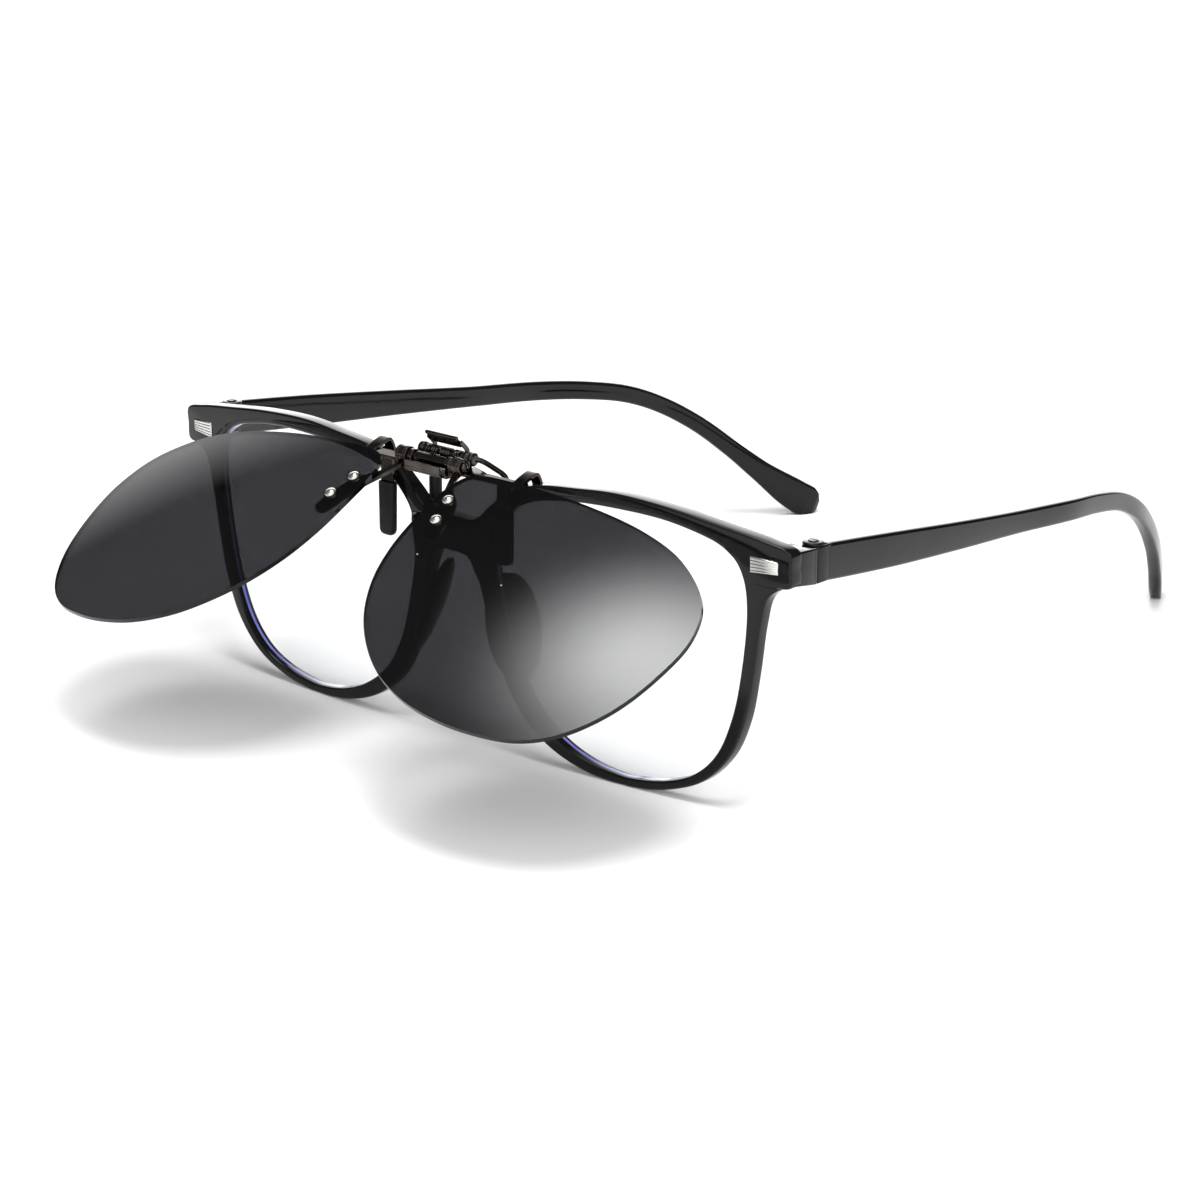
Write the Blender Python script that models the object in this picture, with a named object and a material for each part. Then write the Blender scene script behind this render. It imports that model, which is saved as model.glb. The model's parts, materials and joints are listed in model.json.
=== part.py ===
"""Flip-up clip-on sunglasses, worn on the full-rim spectacles that they fit.

Design coordinates are millimetres: x across the face, y towards the ears, z up from the
surface that the rims and the temple tips stand on. The root empty moves the whole
assembly back along y, so that the origin is below the middle of its bounding box.
"""
import math

import bmesh
import bpy
from mathutils import Matrix, Vector

MM = 0.001
SETBACK = 43.4            # from the design origin to the middle of the bounding box

# Front frame
BRIDGE_FRONT = -14.335    # y of the front surface at the bridge, at brow height
BROW_Z = 50.0
FACE_RADIUS = 523.3       # the front's curve seen from above
FACE_LEAN = 0.0387        # how far back the front leans per millimetre downwards
FRAME_DEPTH = 3.0
EDGE = 0.4                # chamfer along every edge of the front
GROOVE = (0.9, 2.1)       # the lens groove, as depths behind the front surface
GROOVE_DEEP = 0.6
BRIDGE_TOP = 41.4
BRIDGE_BOTTOM = 34.9

# Temple hinge
HINGE_X = 68.5
HINGE_Y = -0.3
KNUCKLE_R = 1.5
HINGE_PIN_R = 0.6
END_REAR = HINGE_Y - 2.6  # rear face of the end piece
OUTER_X = 70.95
SKIN_X = HINGE_X + 1.65   # inner side of the thin outer skins beside the knuckles
FRAME_KNUCKLES = ((41.7, 43.2), (45.7, 46.9))
TEMPLE_KNUCKLE = (43.35, 45.55)

# Flip hinge, along x
FLIP_Y = -18.4
FLIP_Z = 52.2
FLIP_REST = math.radians(60.6)   # the tinted lenses' rise from hanging straight down
SHAFT_R = 0.7
BARREL_R = 1.25
BRACKET_BARREL = (5.05, 7.55)

# Tinted lenses, in the flip hinge's own frame: u across, v down from LENS_TOP
LENS_TOP = 5.68           # how far the lens outline's zero lies above the hinge
LENS_AHEAD = 3.34         # how far the lens's reference plane lies in front of the hinge
LENS_MIDDLE = (31.83, 23.99)
LENS_CURVE = 0.0026       # half of one over the lens's radius
LENS_WRAP = 0.1072        # sideways slope that follows the face
TINTED_THICK = 0.8
BRACKET_GAP = 0.1
BRACKET_THICK = 0.6
RIVETS = {"upper": (11.1, 14.15), "lower": (12.4, 19.05)}
RIVET_R = 0.55
HOLE_R = 0.65

# Clamp
PIVOT_Y = -14.4
PIVOT_Z = 52.5
WIRE_R = 0.5
PLATE_Z = (49.95, 50.55)
SHEET = 0.6               # thickness of the stamped metal
LEG_X = 13.7
LEG_Y = -15.2
SLEEVE_Z = (35.6, 46.4)
CLAW_X = 8.5
CLAW_Y = -8.6
CLAW_SLEEVE_Z = (33.0, 46.0)

# The rim as pairs of points (inner edge, outer edge) in x and z, from the bridge's lower
# edge down the nose side, round the bottom and the temple side, and back along the brow.
RIM = (
    ((9.3, 34.5), (0.0, BRIDGE_BOTTOM)),
    ((9.5, 32.3), (3.4, 34.6)),
    ((10.1, 28.6), (5.8, 30.2)),
    ((11.4, 23.0), (7.6, 23.6)),
    ((13.6, 16.2), (10.3, 15.4)),
    ((17.6, 9.6), (14.3, 8.6)),
    ((23.3, 5.1), (20.3, 3.6)),
    ((29.4, 2.6), (28.0, 0.75)),
    ((34.8, 1.65), (34.5, 0.0)),
    ((38.6, 1.6), (38.8, 0.0)),
    ((45.9, 2.8), (46.3, 1.25)),
    ((51.8, 5.4), (53.2, 4.2)),
    ((56.2, 10.0), (58.4, 9.4)),
    ((59.2, 17.0), (61.6, 16.4)),
    ((61.0, 25.2), (63.4, 25.0)),
    ((62.1, 34.2), (64.8, 34.0)),
    ((62.1, 38.4), (66.2, 38.9)),
    ((61.8, 40.6), (68.6, 40.9)),
    ((61.4, 42.0), (70.8, 41.7)),
    ((60.6, 43.7), (70.95, 44.6)),
    ((59.4, 45.1), (70.8, 47.5)),
    ((57.0, 46.6), (66.5, 48.8)),
    ((52.6, 47.9), (57.6, 50.15)),
    ((45.6, 49.0), (47.7, 51.4)),
    ((36.4, 49.2), (36.6, 52.0)),
    ((28.0, 48.8), (28.2, 51.4)),
    ((19.4, 47.4), (19.2, 50.3)),
    ((14.4, 45.2), (13.3, 48.1)),
    ((11.3, 42.2), (8.9, 44.6)),
    ((10.1, 40.2), (5.4, 41.7)),
    ((9.7, 38.6), (0.0, BRIDGE_TOP)),
)
BRIDGE_MIDDLE = ((9.4, 36.6), (0.0, 38.1))

# The temple as (x, y, z of its middle, height, thickness), from the hinge to the tip.
TEMPLE = (
    (69.6, 1.8, 43.9, 6.3, 2.3),
    (69.4, 9.7, 43.0, 6.1, 2.3),
    (69.1, 20.4, 41.8, 5.6, 2.3),
    (68.0, 41.0, 39.6, 4.3, 2.2),
    (66.2, 62.0, 37.2, 3.4, 2.2),
    (64.9, 79.5, 35.1, 3.3, 2.2),
    (62.6, 91.5, 33.4, 3.3, 2.2),
    (60.2, 102.8, 30.9, 3.3, 2.2),
    (58.1, 112.1, 27.1, 3.4, 2.3),
    (55.3, 120.4, 21.9, 3.5, 2.4),
    (52.4, 127.8, 15.8, 3.7, 2.5),
    (49.3, 134.1, 10.1, 4.7, 2.6),
    (46.1, 139.8, 5.2, 6.6, 2.6),
    (44.2, 143.1, 2.8, 6.9, 2.4),
    (43.0, 145.0, 1.5, 4.6, 1.8),
)

# The tinted lens's outline in u and v, from its nose-side top corner outwards.
TINTED = (
    (10.6, 7.5), (22.8, 6.3), (36.6, 6.4), (48.3, 7.5), (56.8, 10.0), (64.6, 15.8),
    (67.4, 23.0), (67.1, 31.2), (64.5, 40.8), (59.6, 48.4), (53.9, 52.5), (46.6, 54.4),
    (38.8, 54.8), (31.0, 53.6), (22.8, 49.9), (15.2, 42.9), (10.8, 35.4), (8.7, 27.8),
    (8.1, 19.0), (8.5, 11.6),
)

PLAQUE = ((63.4, 43.2), (68.6, 43.6), (68.6, 45.7), (63.4, 46.1))


# ---------------------------------------------------------------- scene and materials

def clear_scene():
    for obj in list(bpy.data.objects):
        bpy.data.objects.remove(obj, do_unlink=True)


def material(name, color, roughness, metallic=0.0, alpha=1.0):
    made = bpy.data.materials.new(name)
    made.use_nodes = True
    made.diffuse_color = (*color, alpha)
    shader = made.node_tree.nodes["Principled BSDF"]
    shader.inputs["Base Color"].default_value = (*color, 1.0)
    shader.inputs["Roughness"].default_value = roughness
    shader.inputs["Metallic"].default_value = metallic
    shader.inputs["Alpha"].default_value = alpha
    return made


def empty(name, place, parent=None, turn_x=0.0):
    made = bpy.data.objects.new(name, None)
    made.location = Vector(place) * MM
    made.rotation_euler.x = turn_x
    made.parent = parent
    bpy.context.collection.objects.link(made)
    return made


def solid(name, verts, faces, finish, parent, origin=(0.0, 0.0, 0.0)):
    """An object from points in millimetres, with its own origin at the given point."""
    mesh = bpy.data.meshes.new(name)
    mesh.from_pydata([(Vector(v) - Vector(origin)) * MM for v in verts], [], faces)
    work = bmesh.new()
    work.from_mesh(mesh)
    bmesh.ops.remove_doubles(work, verts=work.verts, dist=1e-7)
    bmesh.ops.recalc_face_normals(work, faces=work.faces)
    work.to_mesh(mesh)
    work.free()
    mesh.shade_smooth()
    mesh.set_sharp_from_angle(angle=math.radians(35))
    made = bpy.data.objects.new(name, mesh)
    made.location = Vector(origin) * MM
    made.parent = parent
    bpy.context.collection.objects.link(made)
    if finish:
        made.data.materials.append(finish)
    return made


def combine(target, tool, operation):
    """Cuts or joins the target with a hidden tool object."""
    tool.hide_render = True
    tool.display_type = "WIRE"
    step = target.modifiers.new(tool.name, "BOOLEAN")
    step.operation = operation
    step.object = tool


# ---------------------------------------------------------------- curves and solids

def between(a, b, c, d, t):
    """A point between b and c on the smooth curve through a, b, c and d."""
    knots = [0.0]
    for p, q in ((a, b), (b, c), (c, d)):
        knots.append(knots[-1] + max((q - p).length, 1e-6) ** 0.5)
    u = knots[1] + (knots[2] - knots[1]) * t

    def mix(p, q, start, end):
        return (p * (end - u) + q * (u - start)) / (end - start)

    low = mix(a, b, knots[0], knots[1])
    mid = mix(b, c, knots[1], knots[2])
    high = mix(c, d, knots[2], knots[3])
    return mix(mix(low, mid, knots[0], knots[2]), mix(mid, high, knots[1], knots[3]),
               knots[1], knots[2])


def smooth_open(points, steps, before=None, after=None):
    pts = [Vector(p) for p in points]
    first = Vector(before) if before else 2 * pts[0] - pts[1]
    last = Vector(after) if after else 2 * pts[-1] - pts[-2]
    run = [first, *pts, last]
    made = []
    for i in range(1, len(run) - 2):
        for k in range(steps):
            made.append(between(run[i - 1], run[i], run[i + 1], run[i + 2], k / steps))
    made.append(pts[-1])
    return made


def smooth_closed(points, steps):
    pts = [Vector(p) for p in points]
    count = len(pts)
    return [between(pts[i - 1], pts[i], pts[(i + 1) % count], pts[(i + 2) % count], k / steps)
            for i in range(count) for k in range(steps)]


def loft(rings, capped=True):
    """Quads between rings of equal length; flat caps close the two ends."""
    width = len(rings[0])
    verts = [tuple(p) for ring in rings for p in ring]
    faces = []
    for i in range(len(rings) - 1):
        for j in range(width):
            k = (j + 1) % width
            faces.append((i * width + j, i * width + k, (i + 1) * width + k, (i + 1) * width + j))
    if capped:
        faces.append(tuple(range(width)))
        faces.append(tuple(range((len(rings) - 1) * width, len(rings) * width)))
    return verts, faces


def merged(*shapes):
    verts, faces = [], []
    for more_verts, more_faces in shapes:
        start = len(verts)
        verts += more_verts
        faces += [tuple(start + i for i in face) for face in more_faces]
    return verts, faces


def mirrored(shape):
    return [(-x, y, z) for x, y, z in shape[0]], shape[1]


def block(low, high):
    return loft([[(x, low[1], low[2]), (x, high[1], low[2]), (x, high[1], high[2]),
                  (x, low[1], high[2])] for x in (low[0], high[0])])


def turned(profile, axis, centre, sides=16):
    """A solid turned about an axis; the profile is a list of (along, radius)."""
    out = []
    for along, radius in profile:
        ring = []
        for i in range(sides):
            turn = 2 * math.pi * (i + 0.5) / sides
            a, b = radius * math.cos(turn), radius * math.sin(turn)
            offset = {"x": (along, a, b), "y": (a, along, b), "z": (a, b, along)}[axis]
            ring.append(tuple(c + o for c, o in zip(centre, offset)))
        out.append(ring)
    return loft(out)


def strip(path, x_low, x_high, thick):
    """A bent strip of sheet: a path in y and z, with its width along x."""
    pts = [Vector(p) for p in path]
    rings = []
    for i, p in enumerate(pts):
        along = (pts[min(i + 1, len(pts) - 1)] - pts[max(i - 1, 0)]).normalized()
        side = Vector((-along.y, along.x)) * thick / 2
        low, high = p - side, p + side
        rings.append([(x_low, *low), (x_high, *low), (x_high, *high), (x_low, *high)])
    return loft(rings)


def rounded(centre_x, centre_y, z, width, depth, corner, per_corner=3):
    """A level ring with rounded corners."""
    ring = []
    for quarter, (sx, sy) in enumerate(((1, 1), (-1, 1), (-1, -1), (1, -1))):
        for k in range(per_corner):
            turn = math.pi / 2 * (quarter + k / (per_corner - 1))
            ring.append((centre_x + sx * (width / 2 - corner) + corner * math.cos(turn),
                         centre_y + sy * (depth / 2 - corner) + corner * math.sin(turn), z))
    return ring


# ---------------------------------------------------------------- spectacles

def face_y(x, z):
    """y of the front surface: part of an upright cylinder that leans back."""
    return BRIDGE_FRONT + x * x / (2 * FACE_RADIUS) + FACE_LEAN * (BROW_Z - z)


def normals(points, sign):
    """Sideways unit vectors along a run of points in x and z."""
    made = []
    for i in range(len(points)):
        along = points[min(i + 1, len(points) - 1)] - points[max(i - 1, 0)]
        made.append(Vector((-along.y, along.x)).normalized() * sign)
    return made


def rim_outlines(steps):
    """The inner and outer edges of the rim, smoothed, with the ways into the material."""
    pairs = [(*inner, *outer) for inner, outer in RIM]
    middle = BRIDGE_MIDDLE[0]
    before = (*middle, -RIM[1][1][0], RIM[1][1][1])
    after = (*middle, -RIM[-2][1][0], RIM[-2][1][1])
    run = smooth_open(pairs, steps, before, after)
    inner = [Vector((p[0], p[1])) for p in run]
    outer = [Vector((p[2], max(p[3], 0.0))) for p in run]
    into_inner = normals(inner, -1)
    into_outer = normals(outer, 1)
    into_outer[0] = Vector((0, 1))
    into_outer[-1] = Vector((0, -1))
    return inner, outer, into_inner, into_outer


def rim_section(inner, outer, into_inner, into_outer):
    """One section through the rim, from the front inner chamfer round to the lens groove."""
    deep = FRAME_DEPTH
    spots = (
        (inner + into_inner * EDGE, 0.0), (outer + into_outer * EDGE, 0.0),
        (outer, EDGE), (outer, deep - EDGE),
        (outer + into_outer * EDGE, deep), (inner + into_inner * EDGE, deep),
        (inner, deep - EDGE), (inner, GROOVE[1]),
        (inner + into_inner * GROOVE_DEEP, GROOVE[1]), (inner + into_inner * GROOVE_DEEP, GROOVE[0]),
        (inner, GROOVE[0]), (inner, EDGE),
    )
    return [(p.x, face_y(p.x, p.y) + depth, p.y) for p, depth in spots]


def frame_half():
    """Half of the front. The bridge's end section stays open, to meet its mirror image."""
    inner, outer, into_inner, into_outer = rim_outlines(2)
    sections = [rim_section(*spot) for spot in zip(inner, outer, into_inner, into_outer)]
    nose = Vector(BRIDGE_MIDDLE[0])
    centre = Vector(BRIDGE_MIDDLE[1])
    sections.append(rim_section(nose, centre, Vector((-1, 0)), Vector((0, 0))))
    width = len(sections[0])
    count = len(sections)
    faces = []
    for i in range(count):
        k = (i + 1) % count
        bridge = i >= count - 2
        for j in range(width):
            if bridge and 1 <= j <= 3:
                continue
            m = (j + 1) % width
            faces.append((i * width + j, i * width + m, k * width + m, k * width + j))
    return [p for section in sections for p in section], faces


def nose_pad():
    """A flattened egg that leans with the rim and opens towards the face."""
    lean = Matrix.Rotation(math.radians(-20), 3, "Y")
    splay = Matrix.Rotation(math.radians(-25), 3, "Z")
    rings = []
    for i in range(1, 10):
        tall = -math.cos(math.pi * i / 10)
        wide = math.sin(math.pi * i / 10)
        ring = []
        for j in range(14):
            turn = 2 * math.pi * j / 14
            egg = Vector((1.7 * wide * math.cos(turn), 5.2 * wide * math.sin(turn), 9.4 * tall))
            ring.append(tuple(Vector((9.6, -8.2, 22.0)) + splay @ (lean @ egg)))
        rings.append(ring)
    return loft(rings)


def end_piece():
    """The block behind the brow's end, with a thin skin that covers the hinge's outer side."""
    body = block((65.7, -8.6, 42.5), (OUTER_X - 0.65, END_REAR, 46.6))
    skin = block((69.5, -5.9, 42.35), (OUTER_X - 0.25, HINGE_Y - 1.9, 46.75))
    return body, skin


def knuckle(levels, reach, half_width=1.0):
    """A hinge knuckle and the web that ties it to the piece in front of or behind it."""
    low, high = levels
    eye = turned([(low, KNUCKLE_R), (high, KNUCKLE_R)], "z", (HINGE_X, HINGE_Y, 0))
    near, far = sorted((HINGE_Y, reach))
    web = block((HINGE_X - half_width, near, low + 0.02), (HINGE_X + half_width, far, high - 0.02))
    return eye, web


def hinge_bore():
    return turned([(38.0, HINGE_PIN_R + 0.1), (50.0, HINGE_PIN_R + 0.1)], "z",
                  (HINGE_X, HINGE_Y, 0))


def plaque_shape(grow, front, back):
    """The corner plaque's outline, grown sideways, between two depths."""
    centre = Vector((66.0, 44.65))
    rings = []
    for depth in (front, back):
        ring = []
        for x, z in PLAQUE:
            px = x + math.copysign(grow, x - centre.x)
            pz = z + math.copysign(grow, z - centre.y)
            ring.append((px, face_y(px, pz) + depth, pz))
        rings.append(ring)
    return loft(rings)


def build_front(finish, root):
    front = solid("front_frame", *frame_half(), finish, root)
    halves = front.modifiers.new("both_halves", "MIRROR")
    halves.merge_threshold = 0.00001
    additions = {"nose_pads": [nose_pad()]}
    body, skin = end_piece()
    additions["end_blocks"] = [body]
    additions["end_skins"] = [skin]
    for i, levels in enumerate(FRAME_KNUCKLES):
        eye, web = knuckle(levels, END_REAR - 0.5)
        additions[f"knuckle_eyes_{i}"] = [eye]
        additions[f"knuckle_webs_{i}"] = [web]
    for name, shapes in additions.items():
        both = merged(*shapes, *[mirrored(s) for s in shapes])
        combine(front, solid(name, *both, None, root), "UNION")
    cuts = {"hinge_bores": hinge_bore(), "plaque_recesses": plaque_shape(0.1, -1.0, 0.5)}
    for name, shape in cuts.items():
        combine(front, solid(name, *merged(shape, mirrored(shape)), None, root), "DIFFERENCE")
    return front


def shell(outline, centre, place, rings):
    """A thin curved disc: place(point, back) gives each spot on its front or its back."""
    verts, faces = [], []
    count = len(outline)
    for back in (False, True):
        for k in range(rings):
            share = 1 - k / rings
            verts += [place(centre + (p - centre) * share, back) for p in outline]
        verts.append(place(centre, back))
    side = rings * count + 1
    for start in (0, side):
        for k in range(rings):
            for j in range(count):
                m = (j + 1) % count
                a, b = start + k * count + j, start + k * count + m
                if k < rings - 1:
                    faces.append((a, b, b + count, a + count))
                else:
                    faces.append((a, b, start + side - 1))
    for j in range(count):
        m = (j + 1) % count
        faces.append((j, m, side + m, side + j))
    return verts, faces


def clear_lens():
    """A lens whose edge lies in the rim's groove."""
    inner, _, into_inner, _ = rim_outlines(2)
    edge = [p + way * (GROOVE_DEEP - 0.2) for p, way in zip(inner, into_inner)]
    edge.append(Vector(BRIDGE_MIDDLE[0]) + Vector((-1, 0)) * (GROOVE_DEEP - 0.2))
    front, back = GROOVE[0] + 0.1, GROOVE[1] - 0.1

    def place(p, behind):
        return (p.x, face_y(p.x, p.y) + (back if behind else front), p.y)

    return shell(edge, Vector((37.0, 26.0)), place, 3)


def temple():
    """The side arm: sections square to its run, its hinge skin and its knuckle."""
    rows = smooth_open(TEMPLE_ROWS, 2)
    runs = [Vector((r[0], r[1], r[2])) for r in rows]
    sizes = smooth_open([(h, t, 0.0) for *_, h, t in TEMPLE], 2)
    rings = []
    for i, (p, size) in enumerate(zip(runs, sizes)):
        along = runs[min(i + 1, len(runs) - 1)] - runs[max(i - 1, 0)]
        if i == 0:
            along = Vector((0, 1, 0))
        along.x *= 0.999
        level = Vector((1, 0, 0)) if i == 0 else Vector((along.y, -along.x, 0)).normalized()
        rise = level.cross(along).normalized()
        if rise.z < 0:
            rise = -rise
        half_h, half_t = size[0] / 2, size[1] / 2
        cut = min(0.7, half_t * 0.45)
        corners = ((half_t, half_h - cut), (half_t - cut, half_h), (cut - half_t, half_h),
                   (-half_t, half_h - cut), (-half_t, cut - half_h), (cut - half_t, -half_h),
                   (half_t - cut, -half_h), (half_t, cut - half_h))
        ring = []
        for across, up in corners:
            spot = p + level * across + rise * up
            ring.append((spot.x, spot.y, max(spot.z, 0.0)))
        rings.append(ring)
    return loft(rings)


TEMPLE_ROWS = tuple((x, y, z) for x, y, z, _, _ in TEMPLE)


def build_temples(finish, root):
    arm = temple()
    skin = block((SKIN_X, HINGE_Y - 1.6, 40.9), (OUTER_X - 0.25, 2.6, 46.9))
    eye, web = knuckle(TEMPLE_KNUCKLE, 2.6, 0.9)
    for side, flip in (("right", lambda s: s), ("left", mirrored)):
        sign = 1 if side == "right" else -1
        axis = (sign * HINGE_X, HINGE_Y, 0.0)
        piece = solid(f"temple_{side}", *flip(arm), finish, root, axis)
        for name, shape in (("skin", skin), ("eye", eye), ("web", web)):
            combine(piece, solid(f"temple_{name}_{side}", *flip(shape), None, root, axis), "UNION")
        bore = solid(f"temple_bore_{side}", *flip(hinge_bore()), None, root, axis)
        combine(piece, bore, "DIFFERENCE")


def build_hinge_screws(finish, root):
    top = FRAME_KNUCKLES[1][1] + 0.08
    profile = [(41.4, HINGE_PIN_R), (top, HINGE_PIN_R), (top, 1.1), (top + 0.3, 1.1),
               (top + 0.5, 0.75)]
    for side, sign in (("right", 1), ("left", -1)):
        axis = (sign * HINGE_X, HINGE_Y, 0.0)
        solid(f"hinge_screw_{side}", *turned(profile, "z", axis), finish, root, axis)


# ---------------------------------------------------------------- flip-up part

def tinted_surface(u, v):
    """The front of a tinted lens, as y in the flip hinge's frame with the lens hanging."""
    du, dv = u - LENS_MIDDLE[0], v - LENS_MIDDLE[1]
    bulge = -LENS_CURVE * (du * du + dv * dv) - LENS_WRAP * u
    return -(bulge + LENS_AHEAD)


def hanging(u, v, behind):
    """A spot in the flip hinge's frame, a given distance behind the lens's front."""
    return (u, tinted_surface(u, v) + behind, LENS_TOP - v)


def tinted_lens():
    outline = smooth_closed(TINTED, 2)

    def place(p, behind):
        return hanging(p.x, p.y, TINTED_THICK if behind else 0.0)

    return shell(outline, Vector(LENS_MIDDLE), place, 4)


def rivet_holes():
    shapes = []
    for u, v in RIVETS.values():
        front = hanging(u, v, -2.0)
        shapes.append(turned([(0.0, HOLE_R), (6.0, HOLE_R)], "y", front, 12))
    return merged(*shapes)


def bracket_strap():
    """A flat strap behind the lens, from the barrel past both rivets to a round end."""
    path = ((6.3, 5.7), (6.9, 8.0), (8.6, 11.6), (10.9, 14.8), (12.3, 19.6), (12.7, 21.3))
    halves = (1.25, 1.3, 1.5, 1.6, 1.6, 1.5)
    rows = smooth_open([(*p, h) for p, h in zip(path, halves)], 2)
    last = rows[-1]
    for along, share in ((0.8, 0.8), (1.2, 0.4)):
        rows.append(Vector((last.x + 0.2 * along, last.y + along, last.z * share)))
    rings = []
    for i, row in enumerate(rows):
        way = rows[min(i + 1, len(rows) - 1)] - rows[max(i - 1, 0)]
        side = Vector((way.y, -way.x)).normalized()
        ring = []
        for across, behind in ((1, 0), (1, BRACKET_THICK), (-1, BRACKET_THICK), (-1, 0)):
            u = row.x + side.x * row.z * across
            v = row.y + side.y * row.z * across
            y = min(tinted_surface(row.x, row.y) + TINTED_THICK + BRACKET_GAP, 0.6) + behind
            ring.append((u, y, LENS_TOP - v))
        rings.append(ring)
    return loft(rings)


def rivet(u, v):
    """A domed head on the lens, a shank through lens and strap, and a flat rear head."""
    face = tinted_surface(u, v)
    rear = face + TINTED_THICK + BRACKET_GAP + BRACKET_THICK + 0.06
    dome = [(face - 0.08 - 0.62 * math.sin(t), max(1.15 * math.cos(t), 0.12))
            for t in (math.pi / 2, 1.15, 0.75, 0.35, 0.0)]
    profile = [*dome, (face - 0.08, RIVET_R), (rear, RIVET_R), (rear, 0.9), (rear + 0.3, 0.8)]
    return turned(profile, "y", (u, 0.0, LENS_TOP - v), 12)


def build_flip(metal, tint, silver, clip):
    hinge = empty("flip_axis", (0.0, FLIP_Y, FLIP_Z), clip, -FLIP_REST)
    shaft = turned([(-8.2, 0.9), (-8.0, 1.05), (-7.65, 1.05), (-7.65, SHAFT_R),
                    (7.65, SHAFT_R), (7.65, 1.05), (8.0, 1.05), (8.2, 0.9)], "x", (0, 0, 0), 12)
    solid("flip_shaft", *shaft, metal, hinge)
    low, high = BRACKET_BARREL
    barrel = turned([(low, BARREL_R), (high, BARREL_R)], "x", (0, 0, 0))
    bore = turned([(low - 1, SHAFT_R + 0.1), (high + 1, SHAFT_R + 0.1)], "x", (0, 0, 0), 12)
    for side, flip in (("right", lambda s: s), ("left", mirrored)):
        drill = solid(f"rivet_drill_{side}", *flip(rivet_holes()), None, hinge)
        lens = solid(f"tinted_lens_{side}", *flip(tinted_lens()), tint, hinge)
        combine(lens, drill, "DIFFERENCE")
        bracket = solid(f"lens_bracket_{side}", *flip(barrel), metal, hinge)
        combine(bracket, solid(f"strap_{side}", *flip(bracket_strap()), None, hinge), "UNION")
        combine(bracket, solid(f"barrel_bore_{side}", *flip(bore), None, hinge), "DIFFERENCE")
        combine(bracket, drill, "DIFFERENCE")
        for level, spot in RIVETS.items():
            solid(f"rivet_{level}_{side}", *flip(rivet(*spot)), silver, hinge)


# ---------------------------------------------------------------- clamp

def plate_outline():
    """The stamped plate seen from above: a tongue seat, two wings and a rear edge."""
    half = ((4.9, -20.1), (4.9, -16.6), (18.8, -16.4), (18.8, -14.6), (9.0, -14.6),
            (6.3, -12.6))
    return [*half, *[(-x, y) for x, y in reversed(half)]]


def ear():
    """A hook that arches over the brow and ends behind it."""
    path = smooth_open(((-15.7, 50.2), (-14.7, 51.3), (-13.4, 51.8), (-11.9, 51.6),
                        (-10.8, 50.7), (-10.3, 49.3)), 2)
    return strip(path, 16.2, 18.4, SHEET)


def front_leg():
    wide = block((LEG_X - 1.4, LEG_Y - SHEET / 2, 46.7), (LEG_X + 1.4, LEG_Y + SHEET / 2, 50.3))
    narrow = block((LEG_X - 1.0, LEG_Y - SHEET / 2 + 0.02, 37.3),
                   (LEG_X + 1.0, LEG_Y + SHEET / 2 - 0.02, 47.2))
    return wide, narrow


def lug(x_low, x_high, y, z, radius):
    """A sheet lug that stands on the plate and holds a pin."""
    eye = turned([(x_low, radius), (x_high, radius)], "x", (0, y, z))
    web = block((x_low + 0.02, y - radius * 0.8, PLATE_Z[0] + 0.1),
                (x_high - 0.02, y + radius * 0.8, z))
    return eye, web


def build_base(metal, clip):
    outline = plate_outline()
    plate = loft([[(x, y, z) for x, y in outline] for z in PLATE_Z])
    base = solid("clip_base", *plate, metal, clip)
    wide, narrow = front_leg()
    shaft_eye, shaft_web = lug(3.85, 4.88, FLIP_Y, FLIP_Z, 1.2)
    pivot_eye, pivot_web = lug(4.1, 4.86, PIVOT_Y, PIVOT_Z, 1.1)
    parts = {"ears": ear(), "legs": wide, "leg_ends": narrow, "shaft_webs": shaft_web,
             "shaft_eyes": shaft_eye, "pivot_webs": pivot_web, "pivot_eyes": pivot_eye}
    for name, shape in parts.items():
        combine(base, solid(name, *merged(shape, mirrored(shape)), None, clip), "UNION")
    tongue = strip(smooth_open(((-19.6, 50.25), (-20.4, 50.3), (-21.0, 50.9), (-20.7, 51.7)), 2),
                   -3.5, 3.5, 0.5)
    combine(base, solid("tongue", *tongue, None, clip), "UNION")
    bores = {"shaft_bore": (SHAFT_R + 0.1, FLIP_Y, FLIP_Z),
             "pivot_bore": (WIRE_R + 0.1, PIVOT_Y, PIVOT_Z)}
    for name, (radius, y, z) in bores.items():
        cut = turned([(-6.0, radius), (6.0, radius)], "x", (0, y, z), 12)
        combine(base, solid(name, *cut, None, clip), "DIFFERENCE")


def front_sleeve():
    """A soft pocket over the end of a front leg."""
    low, high = SLEEVE_Z
    outer = [(low, 2.2, 0.9, 0.4), (low + 0.35, 3.0, 1.5, 0.6), (low + 1.0, 3.4, 1.8, 0.7),
             (high - 0.3, 3.6, 1.9, 0.7), (high, 3.2, 1.5, 0.6)]
    inner = [(high, 2.4, 0.9, 0.3), (low + 1.3, 2.4, 0.9, 0.3)]
    rings = [rounded(LEG_X, LEG_Y, *row) for row in [*outer, *inner]]
    return loft(rings)


def rear_sleeve():
    """A round soft sleeve over the end of a claw."""
    low, high = CLAW_SLEEVE_Z
    profile = [(low, 0.4), (low + 0.25, 0.85), (low + 0.8, 1.12), (high - 0.3, 1.15),
               (high, 0.95), (high, WIRE_R + 0.12), (low + 1.2, WIRE_R + 0.12)]
    return turned(profile, "z", (CLAW_X, CLAW_Y, 0))


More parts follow.
